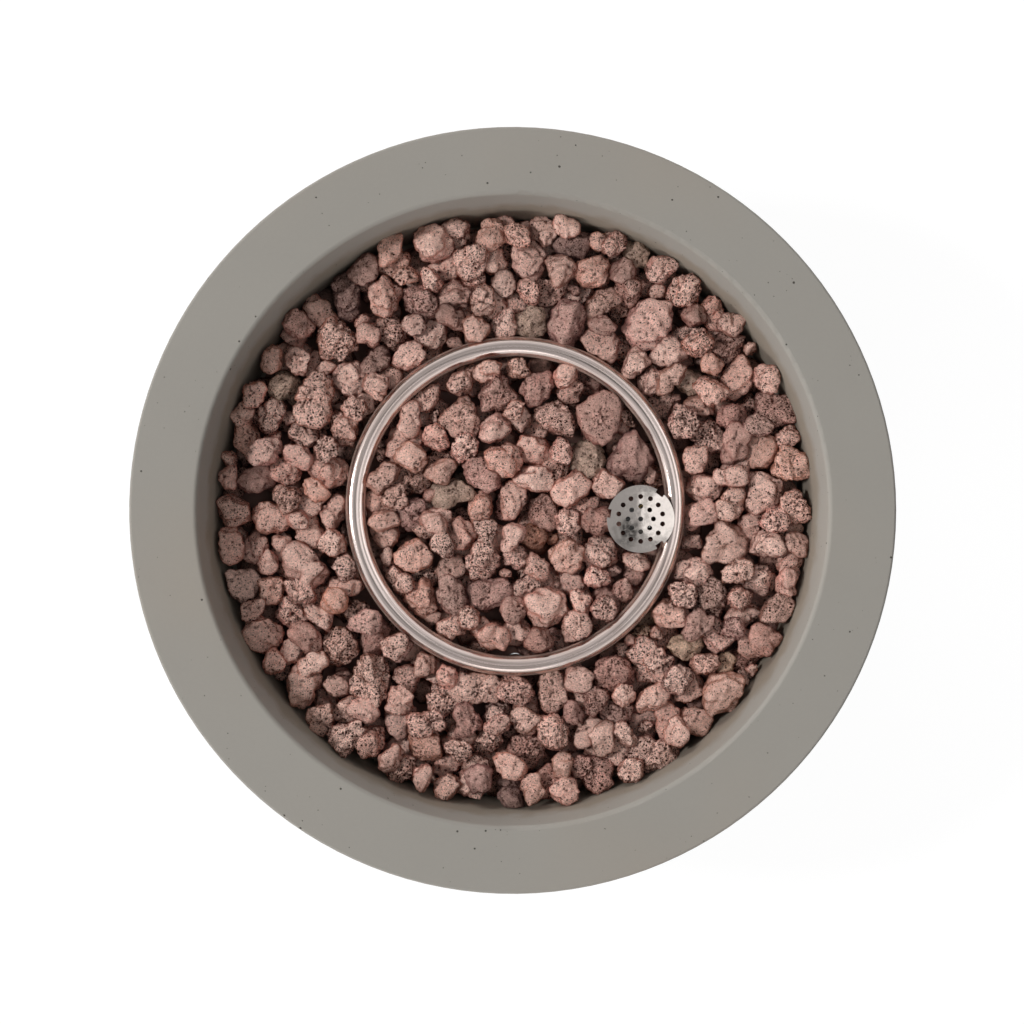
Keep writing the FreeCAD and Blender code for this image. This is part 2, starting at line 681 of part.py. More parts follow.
def guard_sleeve():
    """Sheet cylinder that keeps rocks off the igniter, open towards the ring."""
    height = CAP_Z + cap_rise(SLEEVE_RADIUS) - PAN_TOP
    inside = rod(SLEEVE_RADIUS - SLEEVE_WALL, Vector(), UP, height)
    sleeve = rod(SLEEVE_RADIUS, Vector(), UP, height).cut(inside)
    low = RING_RISE - 2 * TUBE_RADIUS
    window = Part.makeBox(SLEEVE_RADIUS, SLEEVE_RADIUS, 2 * TUBE_RADIUS, Vector(0, -SLEEVE_RADIUS / 2, low))
    slots = [window]
    for angle in (90.0, 180.0, 270.0):
        slot = Part.makeBox(SLEEVE_RADIUS, 4, height / 2, Vector(SLEEVE_RADIUS / 2, -2, height / 4))
        slot.rotate(Vector(), UP, angle)
        slots.append(slot)
    return at(sleeve.cut(slots), GUARD_AT + UP * PAN_TOP)


def igniter_bracket():
    """Bent sheet: a foot on the pan, an upright and a shelf for the two probes."""
    sheet = LEG_THICKNESS
    foot = Part.makeBox(11, 12, sheet, Vector(-15, -6, 0))
    upright = Part.makeBox(sheet, 12, SHELF_HEIGHT, Vector(-15, -6, 0))
    corner = Vector(-15, -PROBE_SPACING / 2 - 5, SHELF_HEIGHT - sheet)
    shelf = Part.makeBox(23, PROBE_SPACING + 10, sheet, corner)
    shelf = shelf.common(rod(SLEEVE_RADIUS - SLEEVE_WALL - 1, Vector(), UP, SHELF_HEIGHT))
    bracket = foot.fuse([upright, shelf]).removeSplitter()
    bracket = at(bracket, GUARD_AT + UP * PAN_TOP)
    electrode, thermocouple = probe_points()
    base = UP * PAN_TOP
    return bracket.cut([
        rod(INSULATOR_RADIUS + FIT, electrode + base, UP, SHELF_HEIGHT + 1),
        rod(THERMOCOUPLE_RADIUS + FIT, thermocouple + base, UP, SHELF_HEIGHT + 1),
        rod(SCREW_RADIUS + FIT, bracket_screw_point() + base, UP, sheet),
    ])


def electrode_foot():
    """Bottom of the electrode's insulator."""
    electrode, thermocouple = probe_points()
    return electrode + UP * (PAN_TOP + SHELF_HEIGHT + 9 - INSULATOR_LENGTH)


def electrode_insulator():
    """Ceramic tube through the shelf and the pan."""
    body = rod(INSULATOR_RADIUS, Vector(), UP, INSULATOR_LENGTH)
    collar = rod(INSULATOR_RADIUS + 1.4, Vector(0, 0, INSULATOR_LENGTH - 9), UP, 3)
    core = rod(ELECTRODE_RADIUS + FIT, Vector(), UP, INSULATOR_LENGTH)
    return at(body.fuse(collar).cut(core), electrode_foot())


def electrode_rod():
    """Spark wire, bent towards the ring at its tip."""
    foot = electrode_foot()
    knee = foot + UP * (INSULATOR_LENGTH + 10)
    return swept([foot, knee, knee + Vector(8, 2, 4)], ELECTRODE_RADIUS, 3.0)


def thermocouple_foot():
    """Bottom of the thermocouple probe."""
    electrode, thermocouple = probe_points()
    return thermocouple + UP * (LEDGE_Z - 8)


def thermocouple_probe():
    """Closed steel probe with a round tip."""
    length = PAN_TOP + SHELF_HEIGHT + 22 - thermocouple_foot().z
    probe = rod(THERMOCOUPLE_RADIUS, Vector(), UP, length)
    tip = [e for e in probe.Edges if e.BoundBox.ZMin > length - 0.01]
    return at(probe.makeFillet(THERMOCOUPLE_RADIUS * 0.6, tip), thermocouple_foot())


def thermocouple_nut():
    """Nut that holds the probe on the shelf."""
    nut = hexagon(9.0, 4.0).cut(rod(THERMOCOUPLE_RADIUS + FIT, Vector(), UP, 4.0))
    electrode, thermocouple = probe_points()
    return at(nut, thermocouple + UP * (PAN_TOP + SHELF_HEIGHT))


# Controls, built with Z towards the user and Z = 0 at the back of the panel

def control_panel():
    """Sheet plate with holes for the stem, the igniter and its screws."""
    panel = plate(PANEL_WIDTH, PANEL_HEIGHT, PANEL_THICKNESS, PANEL_CORNER)
    holes = [
        rod(STEM_RADIUS + 2, Vector(VALVE_X, 0, 0), UP, PANEL_THICKNESS),
        rod(IGNITER_RADIUS + FIT, Vector(IGNITER_X, 0, 0), UP, PANEL_THICKNESS),
    ]
    for point in panel_corners():
        holes.append(rod(SCREW_RADIUS + FIT, point, UP, PANEL_THICKNESS))
    for side in (-1, 1):
        mouth = Vector(VALVE_X + side * VALVE_SCREW_SPACING / 2, 0, PANEL_THICKNESS)
        holes.append(at(countersink(PANEL_THICKNESS + 1), mouth))
    return on_panel(panel.cut(holes))


def panel_screws():
    """Four screws into the casting."""
    screw = pan_head_screw(PANEL_THICKNESS + POCKET_BACK - 6)
    return [on_panel(screw, p.x, p.y, PANEL_THICKNESS) for p in panel_corners()]


def valve_bonnet():
    """Cover of the valve, with the stem's hole."""
    cover = plate(BONNET_WIDTH, VALVE_SIZE, BONNET_THICKNESS, 5.0)
    holes = [rod(STEM_RADIUS + RUNNING_FIT, Vector(), UP, BONNET_THICKNESS)]
    for side in (-1, 1):
        place = Vector(side * VALVE_SCREW_SPACING / 2, 0, 0)
        holes.append(rod(SCREW_RADIUS + FIT, place, UP, BONNET_THICKNESS))
    return on_panel(cover.cut(holes), VALVE_X, 0, -BONNET_THICKNESS)


def valve_body():
    """Body with a chamber, a tapered seat, an inlet at its left and an outlet below."""
    block = plate(VALVE_SIZE, VALVE_SIZE, VALVE_LENGTH, 4.0)
    block.translate(DOWN * VALVE_LENGTH)
    ears = plate(BONNET_WIDTH, VALVE_SIZE, 5.0, 5.0)
    ears.translate(DOWN * 5.0)
    port = Vector(0, 0, BONNET_THICKNESS - PORT_SETBACK)
    inlet = rod(THREAD_RADIUS, port, LEFT, PORT_REACH)
    outlet = rod(THREAD_RADIUS, port, Vector(0, -1, 0), PORT_REACH)
    seat = Part.makeCone(CHAMBER_RADIUS, PLUG_TIP_RADIUS, PLUG_LENGTH, DOWN * CHAMBER_LENGTH, DOWN)
    cuts = [
        rod(CHAMBER_RADIUS, Vector(), DOWN, CHAMBER_LENGTH),
        seat,
        rod(INLET_BORE, Vector(), DOWN, VALVE_LENGTH),
        rod(INLET_TUBE_RADIUS - GAS_TUBE_WALL, port, LEFT, PORT_REACH),
        rod(SUPPLY_TUBE_RADIUS - GAS_TUBE_WALL, port, Vector(0, -1, 0), PORT_REACH),
    ]
    for side in (-1, 1):
        cuts.append(rod(SCREW_RADIUS + FIT, Vector(side * VALVE_SCREW_SPACING / 2, 0, 0), DOWN, 5.0))
    return on_panel(block.fuse([ears, inlet, outlet]).cut(cuts), VALVE_X, 0, -BONNET_THICKNESS)


def valve_screws():
    """Flush screws through panel and bonnet into the valve."""
    screw = flush_screw(PANEL_THICKNESS + BONNET_THICKNESS + 5.0)
    sides = (-VALVE_SCREW_SPACING / 2, VALVE_SCREW_SPACING / 2)
    return [on_panel(screw, VALVE_X + side, 0, PANEL_THICKNESS) for side in sides]


def valve_plug():
    """Tapered plug with an angled gas way, shut at rest, and a square socket for the stem."""
    end_gap = 0.2
    wide, narrow = CHAMBER_RADIUS - PLUG_CLEARANCE, PLUG_TIP_RADIUS - PLUG_CLEARANCE
    cone = Part.makeCone(wide, narrow, PLUG_LENGTH, Vector(), DOWN)
    cone = cone.common(rod(CHAMBER_RADIUS, DOWN * end_gap, DOWN, PLUG_LENGTH - 2 * end_gap))
    port = DOWN * (PORT_SETBACK - BONNET_THICKNESS - CHAMBER_LENGTH)
    side = STEM_TAIL + 2 * RUNNING_FIT
    tail_tip = STEM_SLACK + STEM_COLLAR + STEM_TAIL_LENGTH - CHAMBER_LENGTH
    depth = tail_tip + KNOB_TRAVEL + STEM_SLACK
    socket = Part.makeBox(side, side, depth, Vector(-side / 2, -side / 2, -depth))
    ways = [rod(PLUG_PORT_RADIUS, port, way, CHAMBER_RADIUS) for way in (BACK, LEFT)]
    return on_panel(cone.cut([socket] + ways), VALVE_X, 0, -BONNET_THICKNESS - CHAMBER_LENGTH)


def valve_stem():
    """Stem with a flat for the knob, a collar behind the bonnet and a square tail."""
    collar_top = -BONNET_THICKNESS - STEM_SLACK
    shaft = rod(STEM_RADIUS, Vector(0, 0, collar_top), UP, STEM_LENGTH - collar_top)
    corner = Vector(-2 * STEM_RADIUS, STEM_FLAT, KNOB_GAP + 2)
    flat = Part.makeBox(4 * STEM_RADIUS, STEM_RADIUS, STEM_LENGTH, corner)
    collar = rod(CHAMBER_RADIUS - 2, Vector(0, 0, collar_top), DOWN, STEM_COLLAR)
    corner = Vector(-STEM_TAIL / 2, -STEM_TAIL / 2, collar_top - STEM_COLLAR - STEM_TAIL_LENGTH)
    tail = Part.makeBox(STEM_TAIL, STEM_TAIL, STEM_TAIL_LENGTH, corner)
    return on_panel(shaft.fuse([collar, tail]).cut(flat), VALVE_X, 0, 0)


def stem_spring():
    """Spring that pushes the stem out."""
    collar = -BONNET_THICKNESS - STEM_SLACK - STEM_COLLAR
    return on_panel(coil(STEM_SPRING_RADIUS, -BONNET_THICKNESS - CHAMBER_LENGTH, collar), VALVE_X, 0, 0)


def control_knob():
    """Hollow knob with grip hollows, a pointer and a hub with a flat."""
    top = KNOB_RADIUS - KNOB_TAPER
    body = turned([(0, 0), (KNOB_RADIUS, 0), (KNOB_RADIUS, 4), (top, KNOB_LENGTH), (0, KNOB_LENGTH)])
    body = body.makeFillet(2.0, [e for e in body.Edges if e.BoundBox.ZMin > KNOB_LENGTH - 0.01])
    hub = rod(STEM_RADIUS + 4, Vector(), UP, KNOB_LENGTH)
    hollow = rod(top - KNOB_GRIP_RADIUS - 1, Vector(), UP, KNOB_LENGTH - 6).cut(hub)
    bore_depth = STEM_LENGTH - KNOB_GAP - PANEL_THICKNESS
    bore = rod(STEM_RADIUS + FIT, Vector(), UP, bore_depth + FIT)
    corner = Vector(-2 * STEM_RADIUS, STEM_FLAT + FIT, 0)
    flat = Part.makeBox(4 * STEM_RADIUS, STEM_RADIUS, bore_depth + 1, corner)
    grips = []
    for angle in around(KNOB_GRIPS, 15.0):
        lean = polar(-KNOB_TAPER, angle, KNOB_LENGTH - 4)
        grips.append(rod(KNOB_GRIP_RADIUS, polar(KNOB_RADIUS + 2.2, angle, 5), lean, KNOB_LENGTH))
    pointer = Part.makeBox(2.4, 10, 1.2, Vector(-1.2, top - 14, KNOB_LENGTH - 0.6))
    knob = body.cut([hollow, bore.cut(flat)] + grips).fuse(pointer)
    return on_panel(knob, VALVE_X, 0, PANEL_THICKNESS + KNOB_GAP)


def safety_magnet():
    """Flame-failure magnet unit behind the valve."""
    unit = hexagon(2 * MAGNET_RADIUS, 7.0)
    unit = unit.fuse(rod(MAGNET_RADIUS - 1.5, Vector(), UP, MAGNET_LENGTH))
    return at(unit, panel_point(VALVE_X, 0, -BONNET_THICKNESS - VALVE_LENGTH), BACK)


def magnet_nut():
    """Nut of the thermocouple's lead behind the magnet unit."""
    nut = hexagon(11.0, MAGNET_NUT_LENGTH).cut(rod(LEAD_RADIUS + FIT, Vector(), UP, MAGNET_NUT_LENGTH))
    return at(nut, panel_point(VALVE_X, 0, -BONNET_THICKNESS - VALVE_LENGTH - MAGNET_LENGTH), BACK)


def igniter_body():
    """Piezo igniter: bezel, threaded barrel with the button's well, terminal behind."""
    bezel = rod(IGNITER_BEZEL_RADIUS, Vector(0, 0, PANEL_THICKNESS), UP, IGNITER_BEZEL)
    edge = [e for e in bezel.Edges if e.BoundBox.ZMin > PANEL_THICKNESS + IGNITER_BEZEL - 0.01]
    bezel = bezel.makeFillet(1.2, edge)
    front = Vector(0, 0, PANEL_THICKNESS + IGNITER_BEZEL)
    barrel = rod(IGNITER_RADIUS, Vector(0, 0, PANEL_THICKNESS), DOWN, PANEL_THICKNESS + IGNITER_LENGTH)
    terminal = rod(2.0, DOWN * IGNITER_LENGTH, DOWN, TERMINAL_LENGTH)
    well = rod(BUTTON_RADIUS + RUNNING_FIT, front, DOWN, BUTTON_WELL)
    return on_panel(bezel.fuse([barrel, terminal]).cut(well), IGNITER_X, 0, 0)


def igniter_locknut():
    """Nut behind the panel."""
    nut = hexagon(IGNITER_NUT_FLATS, IGNITER_NUT_HEIGHT)
    nut = nut.cut(rod(IGNITER_RADIUS + FIT, Vector(), UP, IGNITER_NUT_HEIGHT))
    return on_panel(nut, IGNITER_X, 0, -IGNITER_NUT_HEIGHT)


def button_top():
    """Height of the button's face at rest."""
    return PANEL_THICKNESS + IGNITER_BEZEL + BUTTON_SHOW


def igniter_button():
    """Push button with a rounded edge and a shallow dish."""
    button = rod(BUTTON_RADIUS, Vector(), DOWN, BUTTON_LENGTH)
    button = button.makeFillet(1.0, [e for e in button.Edges if e.BoundBox.ZMin > -0.01])
    ball = 4 * BUTTON_RADIUS
    dish = Part.makeSphere(ball, Vector(0, 0, ball - 0.7))
    return on_panel(button.cut(dish), IGNITER_X, 0, button_top())


def button_spring():
    """Spring behind the button."""
    bottom = PANEL_THICKNESS + IGNITER_BEZEL - BUTTON_WELL
    return on_panel(coil(BUTTON_SPRING_RADIUS, bottom, button_top() - BUTTON_LENGTH), IGNITER_X, 0, 0)


# Gas inlet, tubes and leads

def inlet_fitting():
    """Bulkhead fitting: flare thread outside, shank through the boss, thread inside."""
    inside = INLET_BOSS_LENGTH + LOCKNUT_HEIGHT
    fitting = hexagon(INLET_FLATS, INLET_HEX_LENGTH)
    thread_top = INLET_HEX_LENGTH + INLET_THREAD_LENGTH
    nose = Part.makeCone(INLET_THREAD_RADIUS - 1, INLET_BORE + 1, INLET_NOSE_LENGTH, UP * thread_top)
    fitting = fitting.fuse([
        rod(INLET_THREAD_RADIUS, Vector(), UP, thread_top),
        nose,
        rod(INLET_SHANK_RADIUS, Vector(), DOWN, inside),
        rod(THREAD_RADIUS, Vector(), DOWN, inside + THREAD_LENGTH),
    ])
    span = thread_top + INLET_NOSE_LENGTH + inside + THREAD_LENGTH
    bore = rod(INLET_BORE, UP * (thread_top + INLET_NOSE_LENGTH), DOWN, span)
    return at(fitting.cut(bore), Vector(0, INLET_FACE, INLET_Z), BACK)


def inlet_locknut():
    """Nut on the shank inside the bowl."""
    nut = hexagon(LOCKNUT_FLATS, LOCKNUT_HEIGHT)
    nut = nut.cut(rod(INLET_SHANK_RADIUS + FIT, Vector(), UP, LOCKNUT_HEIGHT))
    return at(nut, Vector(0, INLET_FACE - INLET_BOSS_LENGTH, INLET_Z), Vector(0, -1, 0))


def valve_ports():
    """Open ends of the valve's inlet and outlet threads."""
    inlet = panel_point(VALVE_X - PORT_REACH, 0, -PORT_SETBACK)
    outlet = panel_point(VALVE_X, -PORT_REACH, -PORT_SETBACK)
    return inlet, outlet


def inlet_thread_end():
    """Inner end of the bulkhead fitting."""
    return Vector(0, INLET_FACE - INLET_BOSS_LENGTH - LOCKNUT_HEIGHT - THREAD_LENGTH, INLET_Z)


def supply_tube():
    """Tube from the valve down and across to the orifice."""
    inlet, outlet = valve_ports()
    end = orifice_end()
    low = [Vector(p.x, p.y, SUPPLY_TUBE_SAG) for p in (outlet, end)]
    return gas_tube([outlet] + low + [end], SUPPLY_TUBE_RADIUS)


def supply_tube_nuts():
    """Flare nuts at both ends of the supply tube."""
    inlet, outlet = valve_ports()
    nut = flare_nut(SUPPLY_TUBE_RADIUS, THREAD_RADIUS)
    return [at(nut, p + UP * THREAD_LENGTH, DOWN) for p in (outlet, orifice_end())]


def inlet_tube():
    """Tube from the bulkhead fitting round to the valve's inlet."""
    inlet, outlet = valve_ports()
    end = inlet_thread_end()
    run = [
        inlet,
        Vector(INLET_TUBE_X + 30, inlet.y, inlet.z),
        Vector(INLET_TUBE_X, inlet.y + 90, (inlet.z + INLET_Z) / 2),
        Vector(INLET_TUBE_X, INLET_FACE / 4, INLET_Z),
        Vector(0, end.y - 50, INLET_Z),
        end,
    ]
    return gas_tube(run, INLET_TUBE_RADIUS)


def valve_inlet_nut():
    """Flare nut of the inlet tube at the valve."""
    inlet, outlet = valve_ports()
    return at(flare_nut(INLET_TUBE_RADIUS, THREAD_RADIUS), inlet - LEFT * THREAD_LENGTH, LEFT)


def fitting_nut():
    """Flare nut of the inlet tube at the bulkhead fitting."""
    nut = flare_nut(INLET_TUBE_RADIUS, THREAD_RADIUS)
    return at(nut, inlet_thread_end() + BACK * THREAD_LENGTH, Vector(0, -1, 0))


def thermocouple_lead():
    """Thin lead from the probe to the magnet unit."""
    start = panel_point(VALVE_X, 0, -BONNET_THICKNESS - VALVE_LENGTH - MAGNET_LENGTH)
    foot = thermocouple_foot()
    run = [
        start,
        start + BACK * 90,
        Vector(foot.x - 70, foot.y - 60, foot.z - 50),
        foot - UP * 30,
        foot,
    ]
    return swept(run, LEAD_RADIUS, LEAD_BEND)


def ignition_wire():
    """Insulated wire from the igniter's terminal to the electrode."""
    start = panel_point(IGNITER_X, 0, -IGNITER_LENGTH - TERMINAL_LENGTH)
    foot = electrode_foot()
    run = [
        start,
        start + BACK * 50,
        Vector(foot.x - 44, foot.y - 72, foot.z - 36),
        foot - UP * 24,
        foot,
    ]
    return swept(run, WIRE_RADIUS, LEAD_BEND)


# Lava rocks: each is an irregular convex stone, dropped until it rests on the pan or on others

# Stones that stand out in the bed, one a line: X, Y, length, width, turn of the long side
MARKED_ROCKS = (
    (0, 7, 47, 23, 80),
    (19, -25, 27, 24, 0),
    (168, -130, 30, 28, 0),
    (203, -144, 27, 19, 20),
    (120, 242, 32, 29, 0),
    (-220, 118, 34, 33, 0),
    (-190, 107, 48, 43, 20),
    (19, 180, 34, 27, 10),
    (73, 50, 40, 32, -20),
    (-55, 17, 36, 31, 60),
    (168, 122, 28, 25, 0),
    (130, 180, 50, 43, 30),
    (-48, 90, 46, 41, 45),
    (-166, 160, 48, 38, -30),
    (81, 87, 55, 40, 70),
    (-165, -132, 48, 35, 60),
    (-231, -7, 43, 36, 0),
    (135, -228, 43, 36, 0),
    (-262, -71, 42, 39, 0),
    (-135, -160, 50, 45, 45),
    (-24, -79, 49, 27, 20),
    (82, -40, 38, 35, 0),
    (51, -43, 41, 29, 45),
    (-158, 202, 38, 32, -60),
    (215, 125, 43, 32, 80),
    (198, -33, 52, 38, 80),
)


def dot(a, b):
    """Scalar product of two triples."""
    return a[0] * b[0] + a[1] * b[1] + a[2] * b[2]


def stone_axes(chance, half_length, half_width, half_height, turn, tilt):
    """Three half axes of a stone: turned about Z, then tipped a little."""
    tip = Rotation(Vector(chance.uniform(-1, 1), chance.uniform(-1, 1), 0), chance.uniform(-tilt, tilt))
    turned_by = tip.multiply(Rotation(UP, turn))
    sizes = ((1, 0, 0, half_length), (0, 1, 0, half_width), (0, 0, 1, half_height))
    return [tuple(turned_by.multVec(Vector(x, y, z)) * s) for x, y, z, s in sizes]


def reach(axes, u):
    """How far a stone extends from its centre in a direction."""
    return math.sqrt(sum(dot(a, u) ** 2 for a in axes))


class Stone:
    """One rock: its centre and its three half axes; a low one may lie under the burner tube and the cap."""

    def __init__(self, axes, low=False):
        self.axes = axes
        self.low = low
        self.size = max(math.sqrt(dot(a, a)) for a in axes)
        self.rise = reach(axes, (0, 0, 1))
        self.centre = (0.0, 0.0, 0.0)

    def overlap(self, other, x, y, z):
        """Positive when this stone, moved to a point, would press into another."""
        ox, oy, oz = other.centre
        dx, dy, dz = ox - x, oy - y, oz - z
        span = math.sqrt(dx * dx + dy * dy + dz * dz) or 1e-6
        u = (dx / span, dy / span, dz / span)
        return ROCK_PRESS * (reach(self.axes, u) + reach(other.axes, u)) - span

    def rest(self, x, y, others):
        """Height at which this stone, lowered at x and y, meets the pan or another stone."""
        low = PAN_TOP + ROCK_GAP + self.rise
        for other in others:
            ox, oy, oz = other.centre
            span = self.size + other.size
            flat = (x - ox) ** 2 + (y - oy) ** 2
            if flat >= span * span:
                continue
            high = oz + math.sqrt(span * span - flat)
            floor = max(low, oz)
            if high <= low or self.overlap(other, x, y, floor) <= 0:
                continue
            for step in range(11):
                middle = (floor + high) / 2
                if self.overlap(other, x, y, middle) > 0:
                    floor = middle
                else:
                    high = middle
            low = high
        return low


class Bed:
    """Stones in a part of the pan, kept in square cells for quick search."""

    def __init__(self):
        self.cells = {}
        self.stones = []

    def near(self, x, y):
        """Stones around a place."""
        i, j = int(x // 50), int(y // 50)
        keys = [(i + a, j + b) for a in (-1, 0, 1) for b in (-1, 0, 1)]
        return [s for key in keys for s in self.cells.get(key, ())]

    def add(self, stone, x, y, z):
        """Leave a stone at its resting place."""
        stone.centre = (x, y, z)
        self.cells.setdefault((int(x // 50), int(y // 50)), []).append(stone)
        self.stones.append(stone)


def wall_radius(z):
    """Radius of the bowl's inner wall at a height."""
    return LEDGE_RADIUS + (MOUTH_RADIUS - LEDGE_RADIUS) * (z - LEDGE_Z) / LEDGE_DEPTH


LOW_TOP = RING_Z - TUBE_RADIUS - ROCK_CLEARANCE
LEG_REACH = math.hypot(LEG_WIDTH / 2, LEG_FOOT)


def ring_band(low):
    """Half width in plan of the band that stones leave free along the burner ring."""
    return ROCK_GAP if low else TUBE_RADIUS + ROCK_CLEARANCE


def posts(low):
    """Upright pieces that stones stay clear of: X, Y and radius in plan."""
    guard = SLEEVE_RADIUS if low else CAP_RADIUS
    found = [(GUARD_AT.x, GUARD_AT.y, guard + ROCK_CLEARANCE)]
    if low:
        found.append((MIXER_AT.x, MIXER_AT.y, MIXER_RADIUS + ROCK_CLEARANCE))
        for angle in LEG_ANGLES:
            leg = polar(RING_RADIUS, angle)
            found.append((BURNER_X + leg.x, BURNER_Y + leg.y, LEG_REACH + ROCK_CLEARANCE))
    return found


def fits(stone, x, y, inner):
    """True where a stone clears the ring, the guard and the uprights in plan."""
    for px, py, clear in posts(stone.low):
        away = math.hypot(x - px, y - py) or 1e-6
        if away - 0.8 * reach(stone.axes, ((x - px) / away, (y - py) / away, 0)) < clear:
            return False
    dx, dy = x - BURNER_X, y - BURNER_Y
    away = math.hypot(dx, dy) or 1e-6
    wide = 0.8 * reach(stone.axes, (dx / away, dy / away, 0))
    if inner:
        return away + wide < RING_RADIUS - ring_band(stone.low)
    return away - wide > RING_RADIUS + ring_band(stone.low) and math.hypot(x, y) < LEDGE_RADIUS


def settle(inner):
    """Fill the pan inside or outside the ring: a low layer, marked stones, the rest, then chips in gaps."""
    chance = random.Random(ROCK_SEED + inner)
    bed = Bed()
    marked = []
    for x, y, length, width, turn in MARKED_ROCKS:
        stone = Stone(stone_axes(chance, length / 2, width / 2, width / 2, turn, 0))
        if fits(stone, x, y, inner):
            marked.append((stone, x, y))
    rocks = (ROCK_SMALLEST, ROCK_USUAL, ROCK_LARGEST)
    fill(bed, chance, inner, PAN_TOP + ROCK_LAYER_DEPTH, (), rocks, True)
    for stone, x, y in marked:
        long_side, short_side, upright = stone.axes
        for height in (0.8, 0.65, 0.5, 0.35):
            stone = Stone([long_side, short_side, (0, 0, height * upright[2])])
            z = stone.rest(x, y, bed.near(x, y))
            if z + stone.rise < PAN_TOP + ROCK_BED_DEPTH:
                break
        bed.add(stone, x, y, z)
    fill(bed, chance, inner, PAN_TOP + ROCK_BED_DEPTH, marked, rocks)
    fill(bed, chance, inner, PAN_TOP + CHIP_BED_DEPTH, marked, (CHIP_SMALLEST, CHIP_USUAL, CHIP_LARGEST))
    return bed.stones


def place(stone, bed, inner, marked, x, y):
    """Resting place of a stone lowered at x and y, or nothing where it can't go."""
    if not fits(stone, x, y, inner):
        return None
    for other, mx, my in marked:
        if math.hypot(x - mx, y - my) < 0.75 * other.size + 0.6 * stone.size:
            return None
    z = stone.rest(x, y, bed.near(x, y))
    out = math.hypot(x, y) or 1e-6
    if out + 0.85 * reach(stone.axes, (x / out, y / out, 0)) > wall_radius(z):
        return None
    return z, x, y


def rolled(stone, bed, inner, marked, spot):
    """Lower place near a spot, reached by ever smaller steps downhill."""
    for step in (8.0, 4.0, 2.0):
        moved = True
        while moved:
            ways = [polar(step, a) for a in around(6)]
            tries = [place(stone, bed, inner, marked, spot[1] + w.x, spot[2] + w.y) for w in ways]
            lowest = min([t for t in tries if t] + [spot])
            moved = lowest[0] < spot[0] - 0.2
            spot = lowest if moved else spot
    return spot


def fill(bed, chance, inner, top, marked, sizes, low=False):
    """Add stones, each rolled down from the lowest of several tried places, until none fits below the top."""
    near, far = (0.0, RING_RADIUS) if inner else (RING_RADIUS, LEDGE_RADIUS)
    smallest, usual, widest = sizes
    misses = 0
    while misses < ROCK_MISSES:
        largest = widest - (widest - smallest) * misses / ROCK_MISSES
        half = chance.triangular(smallest, largest, min(usual, largest))
        flat = half * chance.uniform(0.7, 0.98)
        axes = stone_axes(chance, half, flat, flat * chance.uniform(0.65, 0.95), chance.uniform(0, 180), 35)
        stone = Stone(axes, low)
        spots = []
        for trial in range(ROCK_TRIALS):
            away = math.sqrt(chance.uniform(near * near, far * far))
            turn = chance.uniform(0, 360)
            middle = polar(away, turn) + (Vector(BURNER_X, BURNER_Y, 0) if inner else Vector())
            spots.append(place(stone, bed, inner, marked, middle.x, middle.y))
        spots = [s for s in spots if s]
        if spots:
            z, x, y = rolled(stone, bed, inner, marked, min(spots))
        if not spots or z + stone.rise > top:
            misses += 1
            continue
        misses = 0
        bed.add(stone, x, y, z)


def limits(stone, bed, inner):
    """Planes (normal, distance) that keep a stone clear of its neighbours, and its touch points."""
    c = stone.centre
    planes = [((0, 0, -1), -PAN_TOP - ROCK_GAP / 2)]
    touches = []
    if c[2] - stone.rise < PAN_TOP + ROCK_GAP + 0.5:
        touches.append((c[0], c[1], PAN_TOP + ROCK_GAP / 2))
    for other in bed:
        d = [other.centre[k] - c[k] for k in range(3)]
        span = math.sqrt(dot(d, d))
        if other is stone or span > 1.25 * (stone.size + other.size):
            continue
        u = [v / span for v in d]
        mine = reach(stone.axes, u)
        theirs = reach(other.axes, u)
        share = span * mine / (mine + theirs) - ROCK_GAP / 2
        planes.append((u, dot(u, c) + share))
        if span < 1.01 * ROCK_PRESS * (mine + theirs):
            touches.append(tuple(c[k] + u[k] * share for k in range(3)))
    uprights = posts(stone.low)
    if not inner:
        uprights.append((BURNER_X, BURNER_Y, RING_RADIUS + ring_band(stone.low)))
    for x, y, clear in uprights:
        away = math.hypot(c[0] - x, c[1] - y)
        if away < clear + 2 * ROCK_LARGEST:
            n = ((x - c[0]) / away, (y - c[1]) / away, 0)
            planes.append((n, dot(n, (x, y, 0)) - clear))
    if stone.low:
        planes.append(((0, 0, 1), LOW_TOP))
    return planes, touches


def allowed(p, planes, within):
    """True for a point on a stone's own side of every plane and inside its round walls."""
    if within and math.hypot(p[0] - BURNER_X, p[1] - BURNER_Y) > within:
        return False
    if math.hypot(p[0], p[1]) > wall_radius(p[2]) - ROCK_CLEARANCE:
        return False
    return all(dot(n, p) <= d + 1e-6 for n, d in planes)


